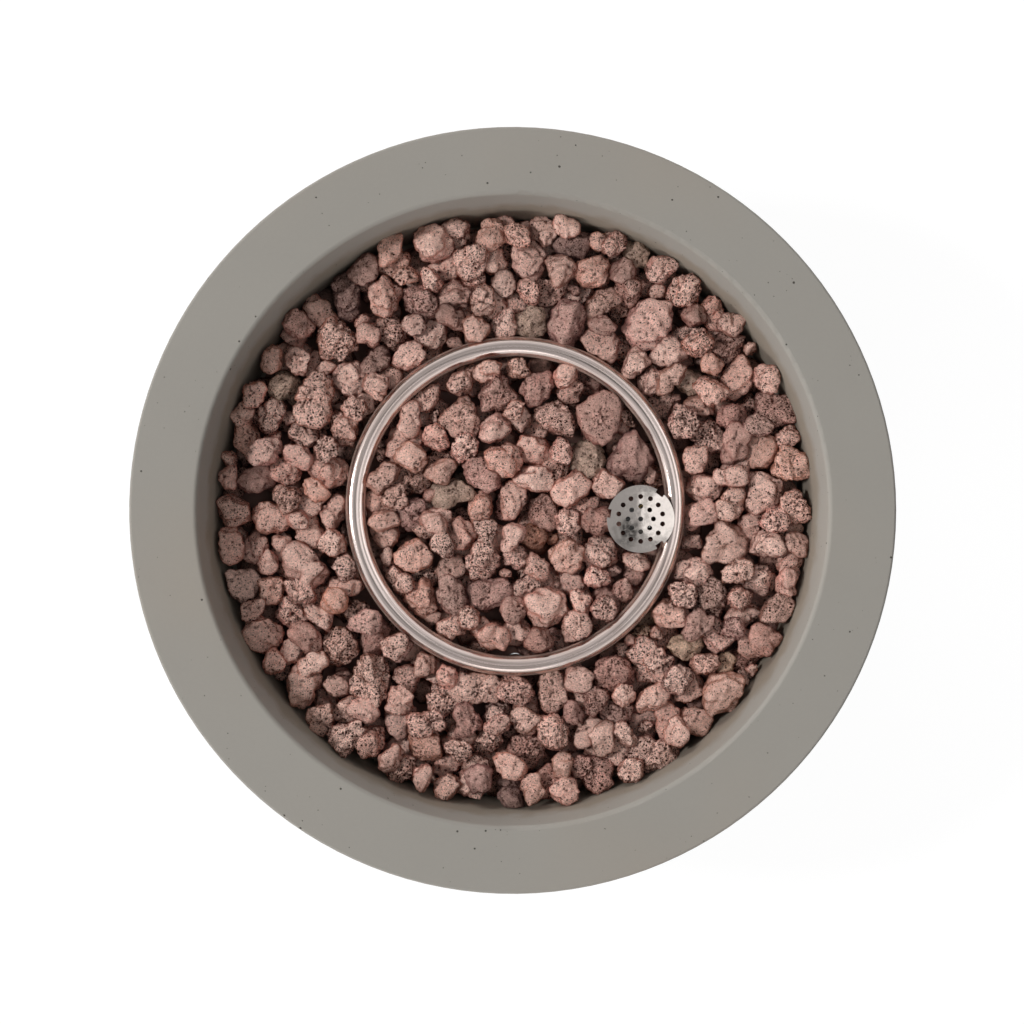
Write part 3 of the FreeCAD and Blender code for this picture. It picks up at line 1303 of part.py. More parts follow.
def stone_points(stone, bed, inner, chance):
    """Corner points of a stone: spread over its form, drawn in where a neighbour is in the way."""
    planes, touches = limits(stone, bed, inner)
    c = stone.centre
    within = RING_RADIUS - ring_band(stone.low) if inner else None
    points = [p for p in touches if allowed(p, planes, within)]
    spin = Rotation(Vector(chance.uniform(-1, 1), chance.uniform(-1, 1), 1), chance.uniform(0, 360))
    count = CHIP_POINTS if stone.size < CHIP_LARGEST else ROCK_POINTS
    for k in range(count):
        height = 1 - (2 * k + 1) / count
        turn = k * math.pi * (3 - math.sqrt(5)) + chance.uniform(-0.3, 0.3)
        flat = math.sqrt(1 - height * height)
        d = spin.multVec(Vector(flat * math.cos(turn), flat * math.sin(turn), height))
        bulge = chance.uniform(1.06, 1.2)
        offset = [bulge * sum(stone.axes[i][j] * d[i] for i in range(3)) for j in range(3)]
        share = 1.0
        p = tuple(c[j] + offset[j] for j in range(3))
        while share > 0.3 and not allowed(p, planes, within):
            share -= 0.04
            p = tuple(c[j] + offset[j] * share for j in range(3))
        if all(math.dist(p, q) > 0.28 * stone.size for q in points):
            points.append(p)
    return points


def hull(points):
    """Outward triangles of the smallest convex form round a few points."""
    triangles = []
    count = len(points)
    vectors = [Vector(*p) for p in points]
    for i in range(count):
        for j in range(i + 1, count):
            for k in range(j + 1, count):
                normal = (vectors[j] - vectors[i]).cross(vectors[k] - vectors[i])
                sides = [normal.dot(v - vectors[i]) for n, v in enumerate(vectors) if n not in (i, j, k)]
                if max(sides) < 0:
                    triangles.append((i, j, k))
                elif min(sides) > 0:
                    triangles.append((i, k, j))
    return vectors, triangles


def lava_rocks(inner):
    """Solids of all the stones inside or outside the ring."""
    bed = settle(inner)
    chance = random.Random(ROCK_SEED + 10 + inner)
    solids = []
    for stone in bed:
        near = [s for s in bed if math.dist(s.centre, stone.centre) < 1.25 * (s.size + stone.size)]
        solids.append(faceted(*hull(stone_points(stone, near, inner, chance))))
    return solids


PIECES = {
    "bowl_casting": bowl_casting,
    "rubber_feet": rubber_feet,
    "foot_screws": foot_screws,
    "burner_pan": burner_pan,
    "pan_screws": pan_screws,
    "burner_ring": burner_ring,
    "burner_legs": burner_legs,
    "burner_screws": burner_screws,
    "burner_nuts": burner_nuts,
    "mixer_tube": mixer_tube,
    "gas_orifice": gas_orifice,
    "guard_cap": guard_cap,
    "guard_sleeve": guard_sleeve,
    "igniter_bracket": igniter_bracket,
    "electrode_insulator": electrode_insulator,
    "electrode_rod": electrode_rod,
    "thermocouple_probe": thermocouple_probe,
    "thermocouple_nut": thermocouple_nut,
    "control_panel": control_panel,
    "panel_screws": panel_screws,
    "valve_bonnet": valve_bonnet,
    "valve_body": valve_body,
    "valve_screws": valve_screws,
    "valve_plug": valve_plug,
    "valve_stem": valve_stem,
    "stem_spring": stem_spring,
    "control_knob": control_knob,
    "safety_magnet": safety_magnet,
    "magnet_nut": magnet_nut,
    "igniter_body": igniter_body,
    "igniter_locknut": igniter_locknut,
    "igniter_button": igniter_button,
    "button_spring": button_spring,
    "inlet_fitting": inlet_fitting,
    "inlet_locknut": inlet_locknut,
    "supply_tube": supply_tube,
    "supply_tube_nuts": supply_tube_nuts,
    "inlet_tube": inlet_tube,
    "valve_inlet_nut": valve_inlet_nut,
    "fitting_nut": fitting_nut,
    "thermocouple_lead": thermocouple_lead,
    "ignition_wire": ignition_wire,
    "lava_rocks_inner": lambda: lava_rocks(1),
    "lava_rocks_outer": lambda: lava_rocks(0),
}

os.makedirs("parts", exist_ok=True)
for name, make in PIECES.items():
    shape = make()
    if isinstance(shape, list):
        shape = shape[0] if len(shape) == 1 else Part.makeCompound(shape)
    shape.exportStep("parts/" + name + ".step")
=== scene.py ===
"""Looks of a round concrete fire bowl with lava rocks, a ring burner and a perforated igniter cap."""
import json
import math

import bpy
import numpy as np
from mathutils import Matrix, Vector

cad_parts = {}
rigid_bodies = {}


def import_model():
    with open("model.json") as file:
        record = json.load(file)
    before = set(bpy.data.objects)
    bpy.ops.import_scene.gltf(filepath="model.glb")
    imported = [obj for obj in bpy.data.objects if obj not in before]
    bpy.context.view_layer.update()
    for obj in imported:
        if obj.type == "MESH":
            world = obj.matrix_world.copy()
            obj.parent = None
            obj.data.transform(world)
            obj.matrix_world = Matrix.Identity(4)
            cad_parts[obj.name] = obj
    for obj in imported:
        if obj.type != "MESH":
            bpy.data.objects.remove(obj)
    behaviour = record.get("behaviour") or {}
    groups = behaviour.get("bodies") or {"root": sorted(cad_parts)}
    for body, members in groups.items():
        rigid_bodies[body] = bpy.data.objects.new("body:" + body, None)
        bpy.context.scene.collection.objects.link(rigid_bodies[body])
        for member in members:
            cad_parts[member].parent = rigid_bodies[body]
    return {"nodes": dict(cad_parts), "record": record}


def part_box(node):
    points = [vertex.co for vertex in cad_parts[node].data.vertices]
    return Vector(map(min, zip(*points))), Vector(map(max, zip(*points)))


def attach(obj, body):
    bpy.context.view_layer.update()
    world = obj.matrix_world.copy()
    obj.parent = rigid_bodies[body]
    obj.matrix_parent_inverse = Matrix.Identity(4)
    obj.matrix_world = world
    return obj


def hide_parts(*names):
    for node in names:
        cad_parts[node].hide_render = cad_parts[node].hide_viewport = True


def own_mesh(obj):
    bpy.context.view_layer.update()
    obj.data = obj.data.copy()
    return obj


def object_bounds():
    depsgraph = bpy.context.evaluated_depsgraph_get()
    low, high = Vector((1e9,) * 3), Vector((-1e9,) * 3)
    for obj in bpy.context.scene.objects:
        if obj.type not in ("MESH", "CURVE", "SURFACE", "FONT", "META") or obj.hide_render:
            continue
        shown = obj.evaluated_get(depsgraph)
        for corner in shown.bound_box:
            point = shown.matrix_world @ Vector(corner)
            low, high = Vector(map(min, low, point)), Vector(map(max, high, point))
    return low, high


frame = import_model()
cad_low, cad_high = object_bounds()

MM = 0.001

# Camera, straight above the bowl
CAMERA_RISE = 2.4
FRAME_WIDTH = 948.2 * MM
BOWL_IN_FRAME = (0.65 * MM, 1.5 * MM)
SENSOR = 36.0

# Light: each lamp has its turn and height in degrees round the bowl, distance, width, height and brightness
KEY_LAMP = (174.0, 48.0, 10.0, 1.4, 1.4, 86.0)
SIDE_LAMPS = ((118.0, 13.0, 6.0, 3.0, 3.0, 7.0), (238.0, 13.0, 6.0, 3.0, 3.0, 7.0))
GLINT_LAMP = (178.0, 33.0, 10.0, 2.2, 2.2, 28.0)
RIGHT_LAMP = (8.0, 30.0, 2.2, 2.0, 0.5, 0.9)
FRONT_LAMP = (268.0, 38.0, 2.2, 0.9, 0.35, 1.6)
TOP_LAMP = (5.0, 72.0, 3.0, 1.2, 1.2, 0.85)
FILL_STRENGTH = 0.25
CEILING_STRENGTH = 0.40
HORIZON_ENDS = 0.35
OVERHEAD_SHADE = (244.0, 83.0, 2.0, 7.0, 0.12)
FLOOR_SIZE = 60.0
FLOOR_TONE = 0.45
FLOOR_GLOW = 0.93
FLOOR_SHADE = 0.12

# Lava rocks
ROCK_SPACING = 1.35 * MM
ROCK_COARSE_SPACING = 4.0 * MM
ROCK_STEPS = (4, 24)
ROCK_EDGE = (7.0, 15.0)
ROCK_SWELL = 1.25
LOWER_SWELL = 1.2
ROCK_KNOBS = (4, 9)
KNOB_PLACE = (0.35, 0.6)
KNOB_RADIUS = (0.4, 0.7)
KNOBBLY = (0.3, 1.2)
ROCK_BREAKS = (2, 9)
BREAK_EDGE = (9.0, 24.0)
BREAK_CUT = (0.60, 0.93)
# Unevenness at three scales: its depth, as a share of the stone or in metres, waves and their length
ROCK_LUMP, LUMP_WAVES, LUMP_LENGTH = 0.08, 6, 0.8
ROCK_CRAG, CRAG_WAVES, CRAG_LENGTH = 0.8 * MM, 6, 11 * MM
ROCK_GRAIN, GRAIN_WAVES, GRAIN_LENGTH = 0.36 * MM, 16, 4.5 * MM
WAVE_SPREAD = (0.7, 1.5)
ROCK_SEED = 11
UPPER_LAYER = 0.42
# Lower-layer stones' tone and dust share are scaled by this: painted shade in the gaps under the upper stones
LOWER_SHADE = 0.45
BED_SECTORS = {"lava_rocks_inner": 2, "lava_rocks_outer": 6}
PIT_SPACING = (6.5 * MM, 3.4 * MM)
PIT_RADIUS = (1.0 * MM, 2.4 * MM)
PIT_DEPTH = 0.85
SPONGE_BETA = (0.75, 1.3)


# Meshes
def mesh_piece(name, points, faces, body, finish):
    """A smooth-shaded mesh object from whole arrays of points and four-cornered faces, riding on a body."""
    mesh = bpy.data.meshes.new(name)
    mesh.from_pydata(points.tolist(), [], faces.tolist())
    mesh.shade_smooth()
    mesh.materials.append(finish)
    piece = bpy.data.objects.new(name, mesh)
    bpy.context.scene.collection.objects.link(piece)
    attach(piece, body)
    return piece


def point_values(piece, name, kind, values):
    """Stores one value or colour for each point of a piece, for its material to read."""
    layer = piece.data.attributes.new(name, kind, "POINT")
    field = "color" if kind == "FLOAT_COLOR" else "value"
    layer.data.foreach_set(field, np.ascontiguousarray(values, np.float32).ravel())


def triangles_of(node):
    """Corner points and triangles of a CAD node as arrays, with corners that share a place made one."""
    mesh = frame["nodes"][node].data
    points = np.empty(len(mesh.vertices) * 3)
    mesh.vertices.foreach_get("co", points)
    mesh.calc_loop_triangles()
    corners = np.empty(len(mesh.loop_triangles) * 3, np.int64)
    mesh.loop_triangles.foreach_get("vertices", corners)
    places, same = np.unique(points.reshape(-1, 3).round(6), axis=0, return_inverse=True)
    return places, same.reshape(-1)[corners].reshape(-1, 3)


# Lava rocks
def ball_grid(steps):
    """Directions over a ball: a grid of steps by steps on each face of a cube, blown up to the unit ball.

    Each face's coordinate is the tangent of an even angle, so that the cells stay alike in size.
    """
    even = np.tan(np.linspace(-math.pi / 4, math.pi / 4, steps + 1))
    across, up = np.meshgrid(even, even, indexing="ij")
    out = np.ones_like(across)
    sides = []
    for axis in range(3):
        for sign in (1.0, -1.0):
            side = np.stack((sign * out, across, sign * up), axis=-1)
            sides.append(np.roll(side, axis, axis=-1).reshape(-1, 3))
    every = np.concatenate(sides)
    places, same = np.unique(every.round(9), axis=0, return_inverse=True)
    index = np.arange((steps + 1) ** 2).reshape(steps + 1, steps + 1)
    cell = np.stack((index[:-1, :-1], index[1:, :-1], index[1:, 1:], index[:-1, 1:]), axis=-1)
    cells = cell.reshape(-1, 4) + (np.arange(6) * (steps + 1) ** 2)[:, None, None]
    faces = same.reshape(-1)[cells.reshape(-1, 4)]
    return places / np.linalg.norm(places, axis=1, keepdims=True), faces


def stones_of(node):
    """Splits a node into its stones: triangles that share a corner, however far along, are one stone.

    Every corner takes the lowest number among its triangle's corners until nothing changes.
    """
    places, triangles = triangles_of(node)
    label = np.arange(len(places))
    while True:
        fresh = label.copy()
        np.minimum.at(fresh, triangles.ravel(), np.repeat(label[triangles].min(axis=1), 3))
        if (fresh == label).all():
            break
        label = fresh
    owner = label[triangles[:, 0]]
    return [places[triangles[owner == one]] for one in np.unique(owner)]


def waves(points, draw, count, length):
    """Soft unevenness between -1 and 1: the mean of plane sine waves of about the given length."""
    ways = draw.normal(size=(count, 3))
    ways *= (2 * math.pi / length) / np.linalg.norm(ways, axis=1, keepdims=True)
    ways *= draw.uniform(*WAVE_SPREAD, (count, 1))
    return np.sin(points @ ways.T + draw.uniform(0, 2 * math.pi, count)).sum(axis=1) / math.sqrt(count)


def ways_about(draw, count):
    """Random directions, evenly spread over the ball."""
    ways = draw.normal(size=(count, 3))
    return ways / np.linalg.norm(ways, axis=1, keepdims=True)


def stone_surface(corners, draw, spacing, swell, sponge):
    """One stone: the rounded form of its solid, swollen into knobs and cut by broken faces, with gas pits.

    The radius in a direction is one over the high norm of (flat's normal . direction / flat's distance) over
    all flats. Knobs are balls about points beside the middle: the farthest ball's edge in a direction, over
    its mean, scales the radius, so creases run between knobs. Broken faces join by a higher norm, which gives
    sharper edges. A pit is a smooth dimple about a random direction, and a spongy stone has more of them.
    """
    middle = corners.reshape(-1, 3).mean(axis=0)
    normals = np.cross(corners[:, 1] - corners[:, 0], corners[:, 2] - corners[:, 0])
    normals /= np.linalg.norm(normals, axis=1, keepdims=True)
    away = ((corners[:, 0] - middle) * normals).sum(axis=1)
    size = away.mean()
    steps = int(np.clip(round(size * math.pi / 2 / spacing), *ROCK_STEPS))
    ways, faces = ball_grid(steps)
    reach = np.clip(ways @ normals.T, 0, None) / away
    edge = draw.uniform(*ROCK_EDGE)
    radius = swell / (reach ** edge).sum(axis=1) ** (1 / edge)
    count = draw.integers(*ROCK_KNOBS)
    knobs = ways_about(draw, count) * draw.uniform(*KNOB_PLACE, (count, 1))
    along = ways @ knobs.T
    knob = (along + np.sqrt(along ** 2 + draw.uniform(*KNOB_RADIUS, count) ** 2)).max(axis=1)
    radius *= (knob / knob.mean()) ** draw.uniform(*KNOBBLY)
    count = draw.integers(*ROCK_BREAKS)
    breaks = ways_about(draw, count)
    cut = (ways * radius[:, None] @ breaks.T).max(axis=0) * draw.uniform(*BREAK_CUT, count)
    reach = np.clip(ways @ breaks.T, 0, None) / cut
    edge = draw.uniform(*BREAK_EDGE)
    radius = ((radius / size) ** -edge + ((reach * size) ** edge).sum(axis=1)) ** (-1 / edge) * size
    ball = ways * radius[:, None]
    radius = radius + ROCK_LUMP * size * waves(ball, draw, LUMP_WAVES, size * LUMP_LENGTH)
    radius -= ROCK_CRAG * (0.3 + sponge) * np.abs(waves(ball, draw, CRAG_WAVES, CRAG_LENGTH))
    radius += ROCK_GRAIN * (1 + sponge) * waves(ball, draw, GRAIN_WAVES, GRAIN_LENGTH)
    spaced = PIT_SPACING[0] + (PIT_SPACING[1] - PIT_SPACING[0]) * sponge
    count = 1 + int(4 * math.pi * (size / spaced) ** 2)
    centres = ways_about(draw, count)
    wide = draw.uniform(0, 1, count) ** 2 * (PIT_RADIUS[1] - PIT_RADIUS[0]) + PIT_RADIUS[0]
    apart = np.sqrt(np.clip(2 - 2 * ways @ centres.T, 0, None)) * radius[:, None]
    dimple = np.clip(1 - (apart / wide) ** 2, 0, 1) ** 1.5
    radius = radius - (dimple * wide * PIT_DEPTH).max(axis=1)
    return middle + ways * radius[:, None], faces, dimple.max(axis=1)


# Stones whose colour stands out, by their place on the bed in millimetres
ODD_STONES = {
    "grey": ((120, 242), (-220, 118), (18, 180), (-54, 19), (168, 122), (73, 50)),
    "tan": ((168, -130), (203, -144), (124, -109)),
    "rust": ((19, -25), (34, -28)),
    "plum": ((-158, 202), (0, -274), (62, 241)),
}
STONE_TONES = {
    "grey": (0.46, 0.325, 0.245),
    "tan": (0.62, 0.42, 0.29),
    "rust": (0.46, 0.19, 0.115),
    "plum": (0.17, 0.09, 0.08),
}
USUAL_TONES = ((0.53, 0.232, 0.18), (0.48, 0.222, 0.167), (0.34, 0.15, 0.122), (0.51, 0.226, 0.163))
USUAL_SHARES = (0.60, 0.20, 0.13, 0.07)
# Share of pale dust for each usual kind, which also paints a highlight on the stones' upward faces
USUAL_DUST_AND_HIGHLIGHT = (1.0, 0.9, 0.5, 0.8)
LIGHT_SPREAD = 0.19
WARM_SPREAD = 0.035
DUST_AND_HIGHLIGHT_SPREAD = (0.7, 1.1)
ODD_REACH = 14 * MM
ODD_DUST_AND_HIGHLIGHT = 0.3


def stone_tone(middle, draw):
    """Colour of one stone and its share of dust and painted top highlight: a usual red-brown, varied, or an
    odd stone's tone.
    """
    for tone, places in ODD_STONES.items():
        near = np.hypot(*(np.array(places) * MM - middle[:2]).T)
        if near.min() < ODD_REACH:
            return np.array((*STONE_TONES[tone], ODD_DUST_AND_HIGHLIGHT))
    kind = draw.choice(len(USUAL_SHARES), p=USUAL_SHARES)
    light = draw.normal(1.0, LIGHT_SPREAD)
    warm = draw.normal(1.0, WARM_SPREAD)
    red, green, blue = np.array(USUAL_TONES[kind]) * light * (1.0, 1 / warm, 1 / warm ** 2)
    return np.array((red, green, blue, USUAL_DUST_AND_HIGHLIGHT[kind] * draw.uniform(*DUST_AND_HIGHLIGHT_SPREAD)))


def lava_rocks(node, finish):
    """Rebuilds a node's stones as rough rocks, larger than their solids; the lower layer is coarser, and
    painted darker and less dusty as shade.
    """
    draw = np.random.default_rng(ROCK_SEED)
    stones = stones_of(node)
    floor = min(stone[..., 2].min() for stone in stones)
    top = max(stone[..., 2].max() for stone in stones)
    groups = {}
    for stone in stones:
        middle = stone.reshape(-1, 3).mean(axis=0)
        upper = stone[..., 2].max() > floor + UPPER_LAYER * (top - floor)
        turn = math.atan2(middle[1], middle[0]) / (2 * math.pi) % 1
        sector = 1 + int(turn * BED_SECTORS[node])
        name = f"{node}_upper_{sector}" if upper else f"{node}_lower"
        spacing, swell = (ROCK_SPACING, ROCK_SWELL) if upper else (ROCK_COARSE_SPACING, LOWER_SWELL)
        sponge = draw.beta(*SPONGE_BETA)
        surface = stone_surface(stone, draw, spacing, swell, sponge)
        # Painted shade: lower-layer stones are darker and less dusty
        tone = stone_tone(middle, draw) * (1.0 if upper else LOWER_SHADE)
        groups.setdefault(name, []).append(surface + (tone, sponge))
    for name, made in groups.items():
        sizes = [len(points) for points, *_ in made]
        starts = np.concatenate(([0], np.cumsum(sizes)[:-1]))
        points = np.concatenate([stone[0] for stone in made])
        faces = np.concatenate([stone[1] + start for stone, start in zip(made, starts)])
        piece = mesh_piece(name, points, faces, "fire_bowl", finish)
        tones = np.repeat([stone[3] for stone in made], sizes, axis=0)
        point_values(piece, "stone_tone", "FLOAT_COLOR", tones)
        point_values(piece, "gas_pit", "FLOAT", np.concatenate([stone[2] for stone in made]))
        point_values(piece, "sponge", "FLOAT", np.repeat([stone[4] for stone in made], sizes))
        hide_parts(node)


def pressed_springs(finish):
    """The coil springs, each a copy of its node's mesh with the given finish, riding on the body of the
    joint's parent.
    """
    for joint in frame["record"]["behaviour"]["joints"]:
        for spring in joint.get("deforming_nodes", []):
            node = spring["node"]
            coil = bpy.data.objects.new(node + "_coil", frame["nodes"][node].data.copy())
            coil.data.materials.clear()
            coil.data.materials.append(finish)
            bpy.context.scene.collection.objects.link(coil)
            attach(coil, joint["parent"])
            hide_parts(node)
            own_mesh(coil)


# Shader nodes
def shader(tree, kind, inputs=None, **settings):
    """Adds one shader node; inputs are socket values or other nodes' outputs, settings its own options."""
    made = tree.nodes.new("ShaderNode" + kind)
    for key, value in settings.items():
        setattr(made, key, value)
    for key, value in (inputs or {}).items():
        if isinstance(value, bpy.types.NodeSocket):
            tree.links.new(value, made.inputs[key])
        else:
            made.inputs[key].default_value = value
    return made


def maths(tree, operation, first, second=0.0, clamp=False):
    """One arithmetic node; returns its output."""
    return shader(tree, "Math", {0: first, 1: second}, operation=operation, use_clamp=clamp).outputs[0]


def ramp(tree, value, low, high, start=0.0, end=1.0):
    """Carries value from low..high to start..end along a smooth step."""
    inputs = {"Value": value, "From Min": low, "From Max": high, "To Min": start, "To Max": end}
    return shader(tree, "MapRange", inputs, interpolation_type="SMOOTHSTEP").outputs["Result"]


def mixed(tree, factor, first, second):
    """Mixes two colours by a factor."""
    return shader(tree, "Mix", {0: factor, 6: first, 7: second}, data_type="RGBA").outputs[2]


def noise(tree, place, scale, detail=3.0, roughness=0.55):
    """Cloudy values about one half."""
    inputs = {"Vector": place, "Scale": scale, "Detail": detail, "Roughness": roughness}
    return shader(tree, "TexNoise", inputs).outputs["Fac"]


def group(name, inputs, outputs):
    """An empty shader node group with named sockets; returns its tree, input outlets and output node."""
    tree = bpy.data.node_groups.new(name, "ShaderNodeTree")
    for label, kind in inputs.items():
        tree.interface.new_socket(label, in_out="INPUT", socket_type="NodeSocket" + kind)
    for label, kind in outputs.items():
        tree.interface.new_socket(label, in_out="OUTPUT", socket_type="NodeSocket" + kind)
    return tree, tree.nodes.new("NodeGroupInput").outputs, tree.nodes.new("NodeGroupOutput").inputs


def make_mottle():
    """Cloudy lightening and darkening of a colour at a large and a small scale."""
    tree, given, out = group(
        "mottle",
        {"Place": "Vector", "Colour": "Color", "Scale": "Float", "Fine Scale": "Float", "Amount": "Float"},
        {"Colour": "Color", "Cloud": "Float"},
    )
    wide = noise(tree, given["Place"], given["Scale"])
    fine = noise(tree, given["Place"], given["Fine Scale"], 4.0, 0.6)
    cloud = maths(tree, "ADD", maths(tree, "MULTIPLY", wide, 0.6), maths(tree, "MULTIPLY", fine, 0.4))
    swing = maths(tree, "MULTIPLY", maths(tree, "SUBTRACT", cloud, 0.5), given["Amount"])
    gain = maths(tree, "ADD", swing, 1.0)
    toned = shader(tree, "VectorMath", {0: given["Colour"], "Scale": gain}, operation="SCALE").outputs[0]
    tree.links.new(toned, out["Colour"])
    tree.links.new(cloud, out["Cloud"])
    return tree


def make_pinholes():
    """Round holes of given radius, one in some of the cells of a scattered pattern."""
    tree, given, out = group(
        "pinholes",
        {"Place": "Vector", "Scale": "Float", "Radius": "Float", "Share": "Float"},
        {"Hole": "Float"},
    )
    cells = shader(tree, "TexVoronoi", {"Vector": given["Place"], "Scale": given["Scale"]})
    chance = shader(tree, "SeparateColor", {"Color": cells.outputs["Color"]}).outputs
    reach = maths(tree, "MULTIPLY", given["Radius"], given["Scale"])
    reach = maths(tree, "MULTIPLY", reach, maths(tree, "ADD", chance["Green"], 0.4))
    near = maths(tree, "DIVIDE", cells.outputs["Distance"], reach)
    hole = ramp(tree, near, 1.0, 0.75)
    chosen = maths(tree, "LESS_THAN", chance["Red"], given["Share"])
    tree.links.new(maths(tree, "MULTIPLY", hole, chosen), out["Hole"])
    return tree


def make_dust_and_painted_light():
    """Settled dust on upward faces, a little uneven; it also stands for painted light: lit tops on the rocks,
    shade on the pan.
    """
    tree, given, out = group(
        "dust_and_painted_light",
        {"Place": "Vector", "Colour": "Color", "Dust": "Color", "Scale": "Float", "Amount": "Float"},
        {"Colour": "Color"},
    )
    facing = shader(tree, "SeparateXYZ", {0: shader(tree, "NewGeometry").outputs["Normal"]}).outputs["Z"]
    patch = ramp(tree, noise(tree, given["Place"], given["Scale"], 5.0, 0.65), 0.35, 0.65)
    lying = maths(tree, "MULTIPLY", ramp(tree, facing, 0.2, 0.9), ramp(tree, patch, 0.0, 1.0, 0.75, 1.0))
    cover = maths(tree, "MULTIPLY", lying, given["Amount"], clamp=True)
    tree.links.new(mixed(tree, cover, given["Colour"], given["Dust"]), out["Colour"])
    return tree


MOTTLE = make_mottle()
PINHOLES = make_pinholes()
DUST_AND_PAINTED_LIGHT = make_dust_and_painted_light()


def use(tree, effect, **inputs):
    """Places an effect group in a material; returns its outputs."""
    made = tree.nodes.new("ShaderNodeGroup")
    made.node_tree = effect
    for key, value in inputs.items():
        socket = made.inputs[key.replace("_", " ")]
        if isinstance(value, bpy.types.NodeSocket):
            tree.links.new(value, socket)
        else:
            socket.default_value = value
    return made.outputs


def material(name):
    """A material with an empty principled shader; returns it, its tree, shader and object coordinates."""
    made = bpy.data.materials.new(name)
    made.use_nodes = True
    tree = made.node_tree
    place = shader(tree, "TexCoord").outputs["Object"]
    return made, tree, tree.nodes["Principled BSDF"].inputs, place


def opaque(colour):
    """A colour with full alpha."""
    return (*colour, 1.0)


def bump(tree, height, distance, strength=1.0, normal=None):
    """Surface relief from a height between 0 and 1 that stands for the given distance."""
    inputs = {"Height": height, "Distance": distance, "Strength": strength}
    if normal is not None:
        inputs["Normal"] = normal
    return shader(tree, "Bump", inputs).outputs["Normal"]


# Finishes
# The ring's warm pinkish tones are partly a painted reflection of the red rocks
RING_TONE = (0.78, 0.66, 0.615)
RING_HEAT_TONE = (0.66, 0.51, 0.45)
RING_FLANK_REFLECTION_TONE = (0.56, 0.385, 0.32)
CAP_TONE = (0.70, 0.635, 0.59)
CAP_WAVE = 0.55 * MM
PAN_TONE = (0.30, 0.29, 0.285)
CONCRETE_TONE = (0.305, 0.287, 0.258)
CONCRETE_WARM = (0.315, 0.283, 0.245)
# Dark tone painted into the concrete's pinholes: painted shade inside them
HOLE_SHADE_TONE = (0.075, 0.068, 0.058)
# Inner-wall darkening towards the rocks: partly a rock-dust stain, partly painted shade
STAIN_AND_SHADE_TONE = (0.20, 0.148, 0.10)
STAIN_AND_SHADE_RADIUS = 297 * MM
STAIN_AND_SHADE_HEIGHTS = (284 * MM, 306 * MM)
STAIN_AND_SHADE_COVER = 0.55
STAIN_AND_SHADE_EDGE = 40 * MM
STAIN_AND_SHADE_FOOT = (200 * MM, 220 * MM)
# Pale rock dust on upward faces, which also serves as a painted highlight on the stones' tops
ROCK_DUST_AND_HIGHLIGHT = (1.0, 0.675, 0.57)
ROCK_DUST_AND_HIGHLIGHT_COVER = 0.9
# Dark tone painted into pores and gas pits: painted shade inside them
PORE_SHADE_TONE = (0.07, 0.028, 0.021)
# Dark red-brown on the pan's upward faces: rock dust and painted shade under the rocks
PAN_DUST_AND_SHADE = (0.20, 0.11, 0.09)
METAL_MARKS = 120.0


def concrete_finish():
    """Smooth cast concrete: faint clouds, warm stains, clusters of air pinholes painted dark as their shade
    and a slightly uneven skin.

    The inner wall darkens and browns towards the rocks, more the lower it is: partly a rock-dust stain,
    partly painted shade.
    """
    made, tree, principled, place = material("cast_concrete")
    warm = ramp(tree, noise(tree, place, 3.5, 2.0), 0.45, 0.75)
    tone = mixed(tree, warm, opaque(CONCRETE_TONE), opaque(CONCRETE_WARM))
    cloud = use(tree, MOTTLE, Place=place, Colour=tone, Scale=9.0, Fine_Scale=260.0, Amount=0.16)
    crowd = ramp(tree, noise(tree, place, 20.0, 2.0), 0.44, 0.70, 0.12, 0.9)
    large = use(tree, PINHOLES, Place=place, Scale=75.0, Radius=1.0 * MM, Share=crowd)["Hole"]
    small = use(tree, PINHOLES, Place=place, Scale=170.0, Radius=0.5 * MM, Share=crowd)["Hole"]
    hole = maths(tree, "MAXIMUM", large, maths(tree, "MULTIPLY", small, 0.75))
    axes = shader(tree, "SeparateXYZ", {0: place}).outputs
    flat = shader(tree, "CombineXYZ", {0: axes["X"], 1: axes["Y"]}).outputs[0]
    out = shader(tree, "VectorMath", {0: flat}, operation="LENGTH").outputs["Value"]
    # Painted shade and dust stain: the inner wall darkens towards the rocks
    inside = ramp(tree, out, STAIN_AND_SHADE_RADIUS, STAIN_AND_SHADE_RADIUS - 4 * MM)
    ragged = maths(tree, "MULTIPLY", maths(tree, "SUBTRACT", noise(tree, place, 30.0, 4.0), 0.5), STAIN_AND_SHADE_EDGE)
    level = maths(tree, "ADD", axes["Z"], ragged)
    stain_and_shade = maths(tree, "MULTIPLY", inside, ramp(tree, level, *STAIN_AND_SHADE_HEIGHTS, STAIN_AND_SHADE_COVER, 0.0))
    stain_and_shade = maths(tree, "MULTIPLY", stain_and_shade, ramp(tree, axes["Z"], *STAIN_AND_SHADE_FOOT))
    with_dust_and_painted_light = mixed(tree, stain_and_shade, cloud["Colour"], opaque(STAIN_AND_SHADE_TONE))
    # The pinholes are painted dark: painted shade inside them
    tree.links.new(mixed(tree, hole, with_dust_and_painted_light, opaque(HOLE_SHADE_TONE)), principled["Base Color"])
    tree.links.new(ramp(tree, cloud["Cloud"], 0.3, 0.7, 0.62, 0.8), principled["Roughness"])
    uneven = bump(tree, noise(tree, place, 14.0, 2.0), 1.2 * MM, 0.25)
    grain = bump(tree, noise(tree, place, 900.0, 3.0), 0.08 * MM, 0.5, uneven)
    sunk = bump(tree, maths(tree, "SUBTRACT", 1.0, hole), 0.9 * MM, 0.9, grain)
    tree.links.new(sunk, principled["Normal"])
    principled["Specular IOR Level"].default_value = 0.3
    return made


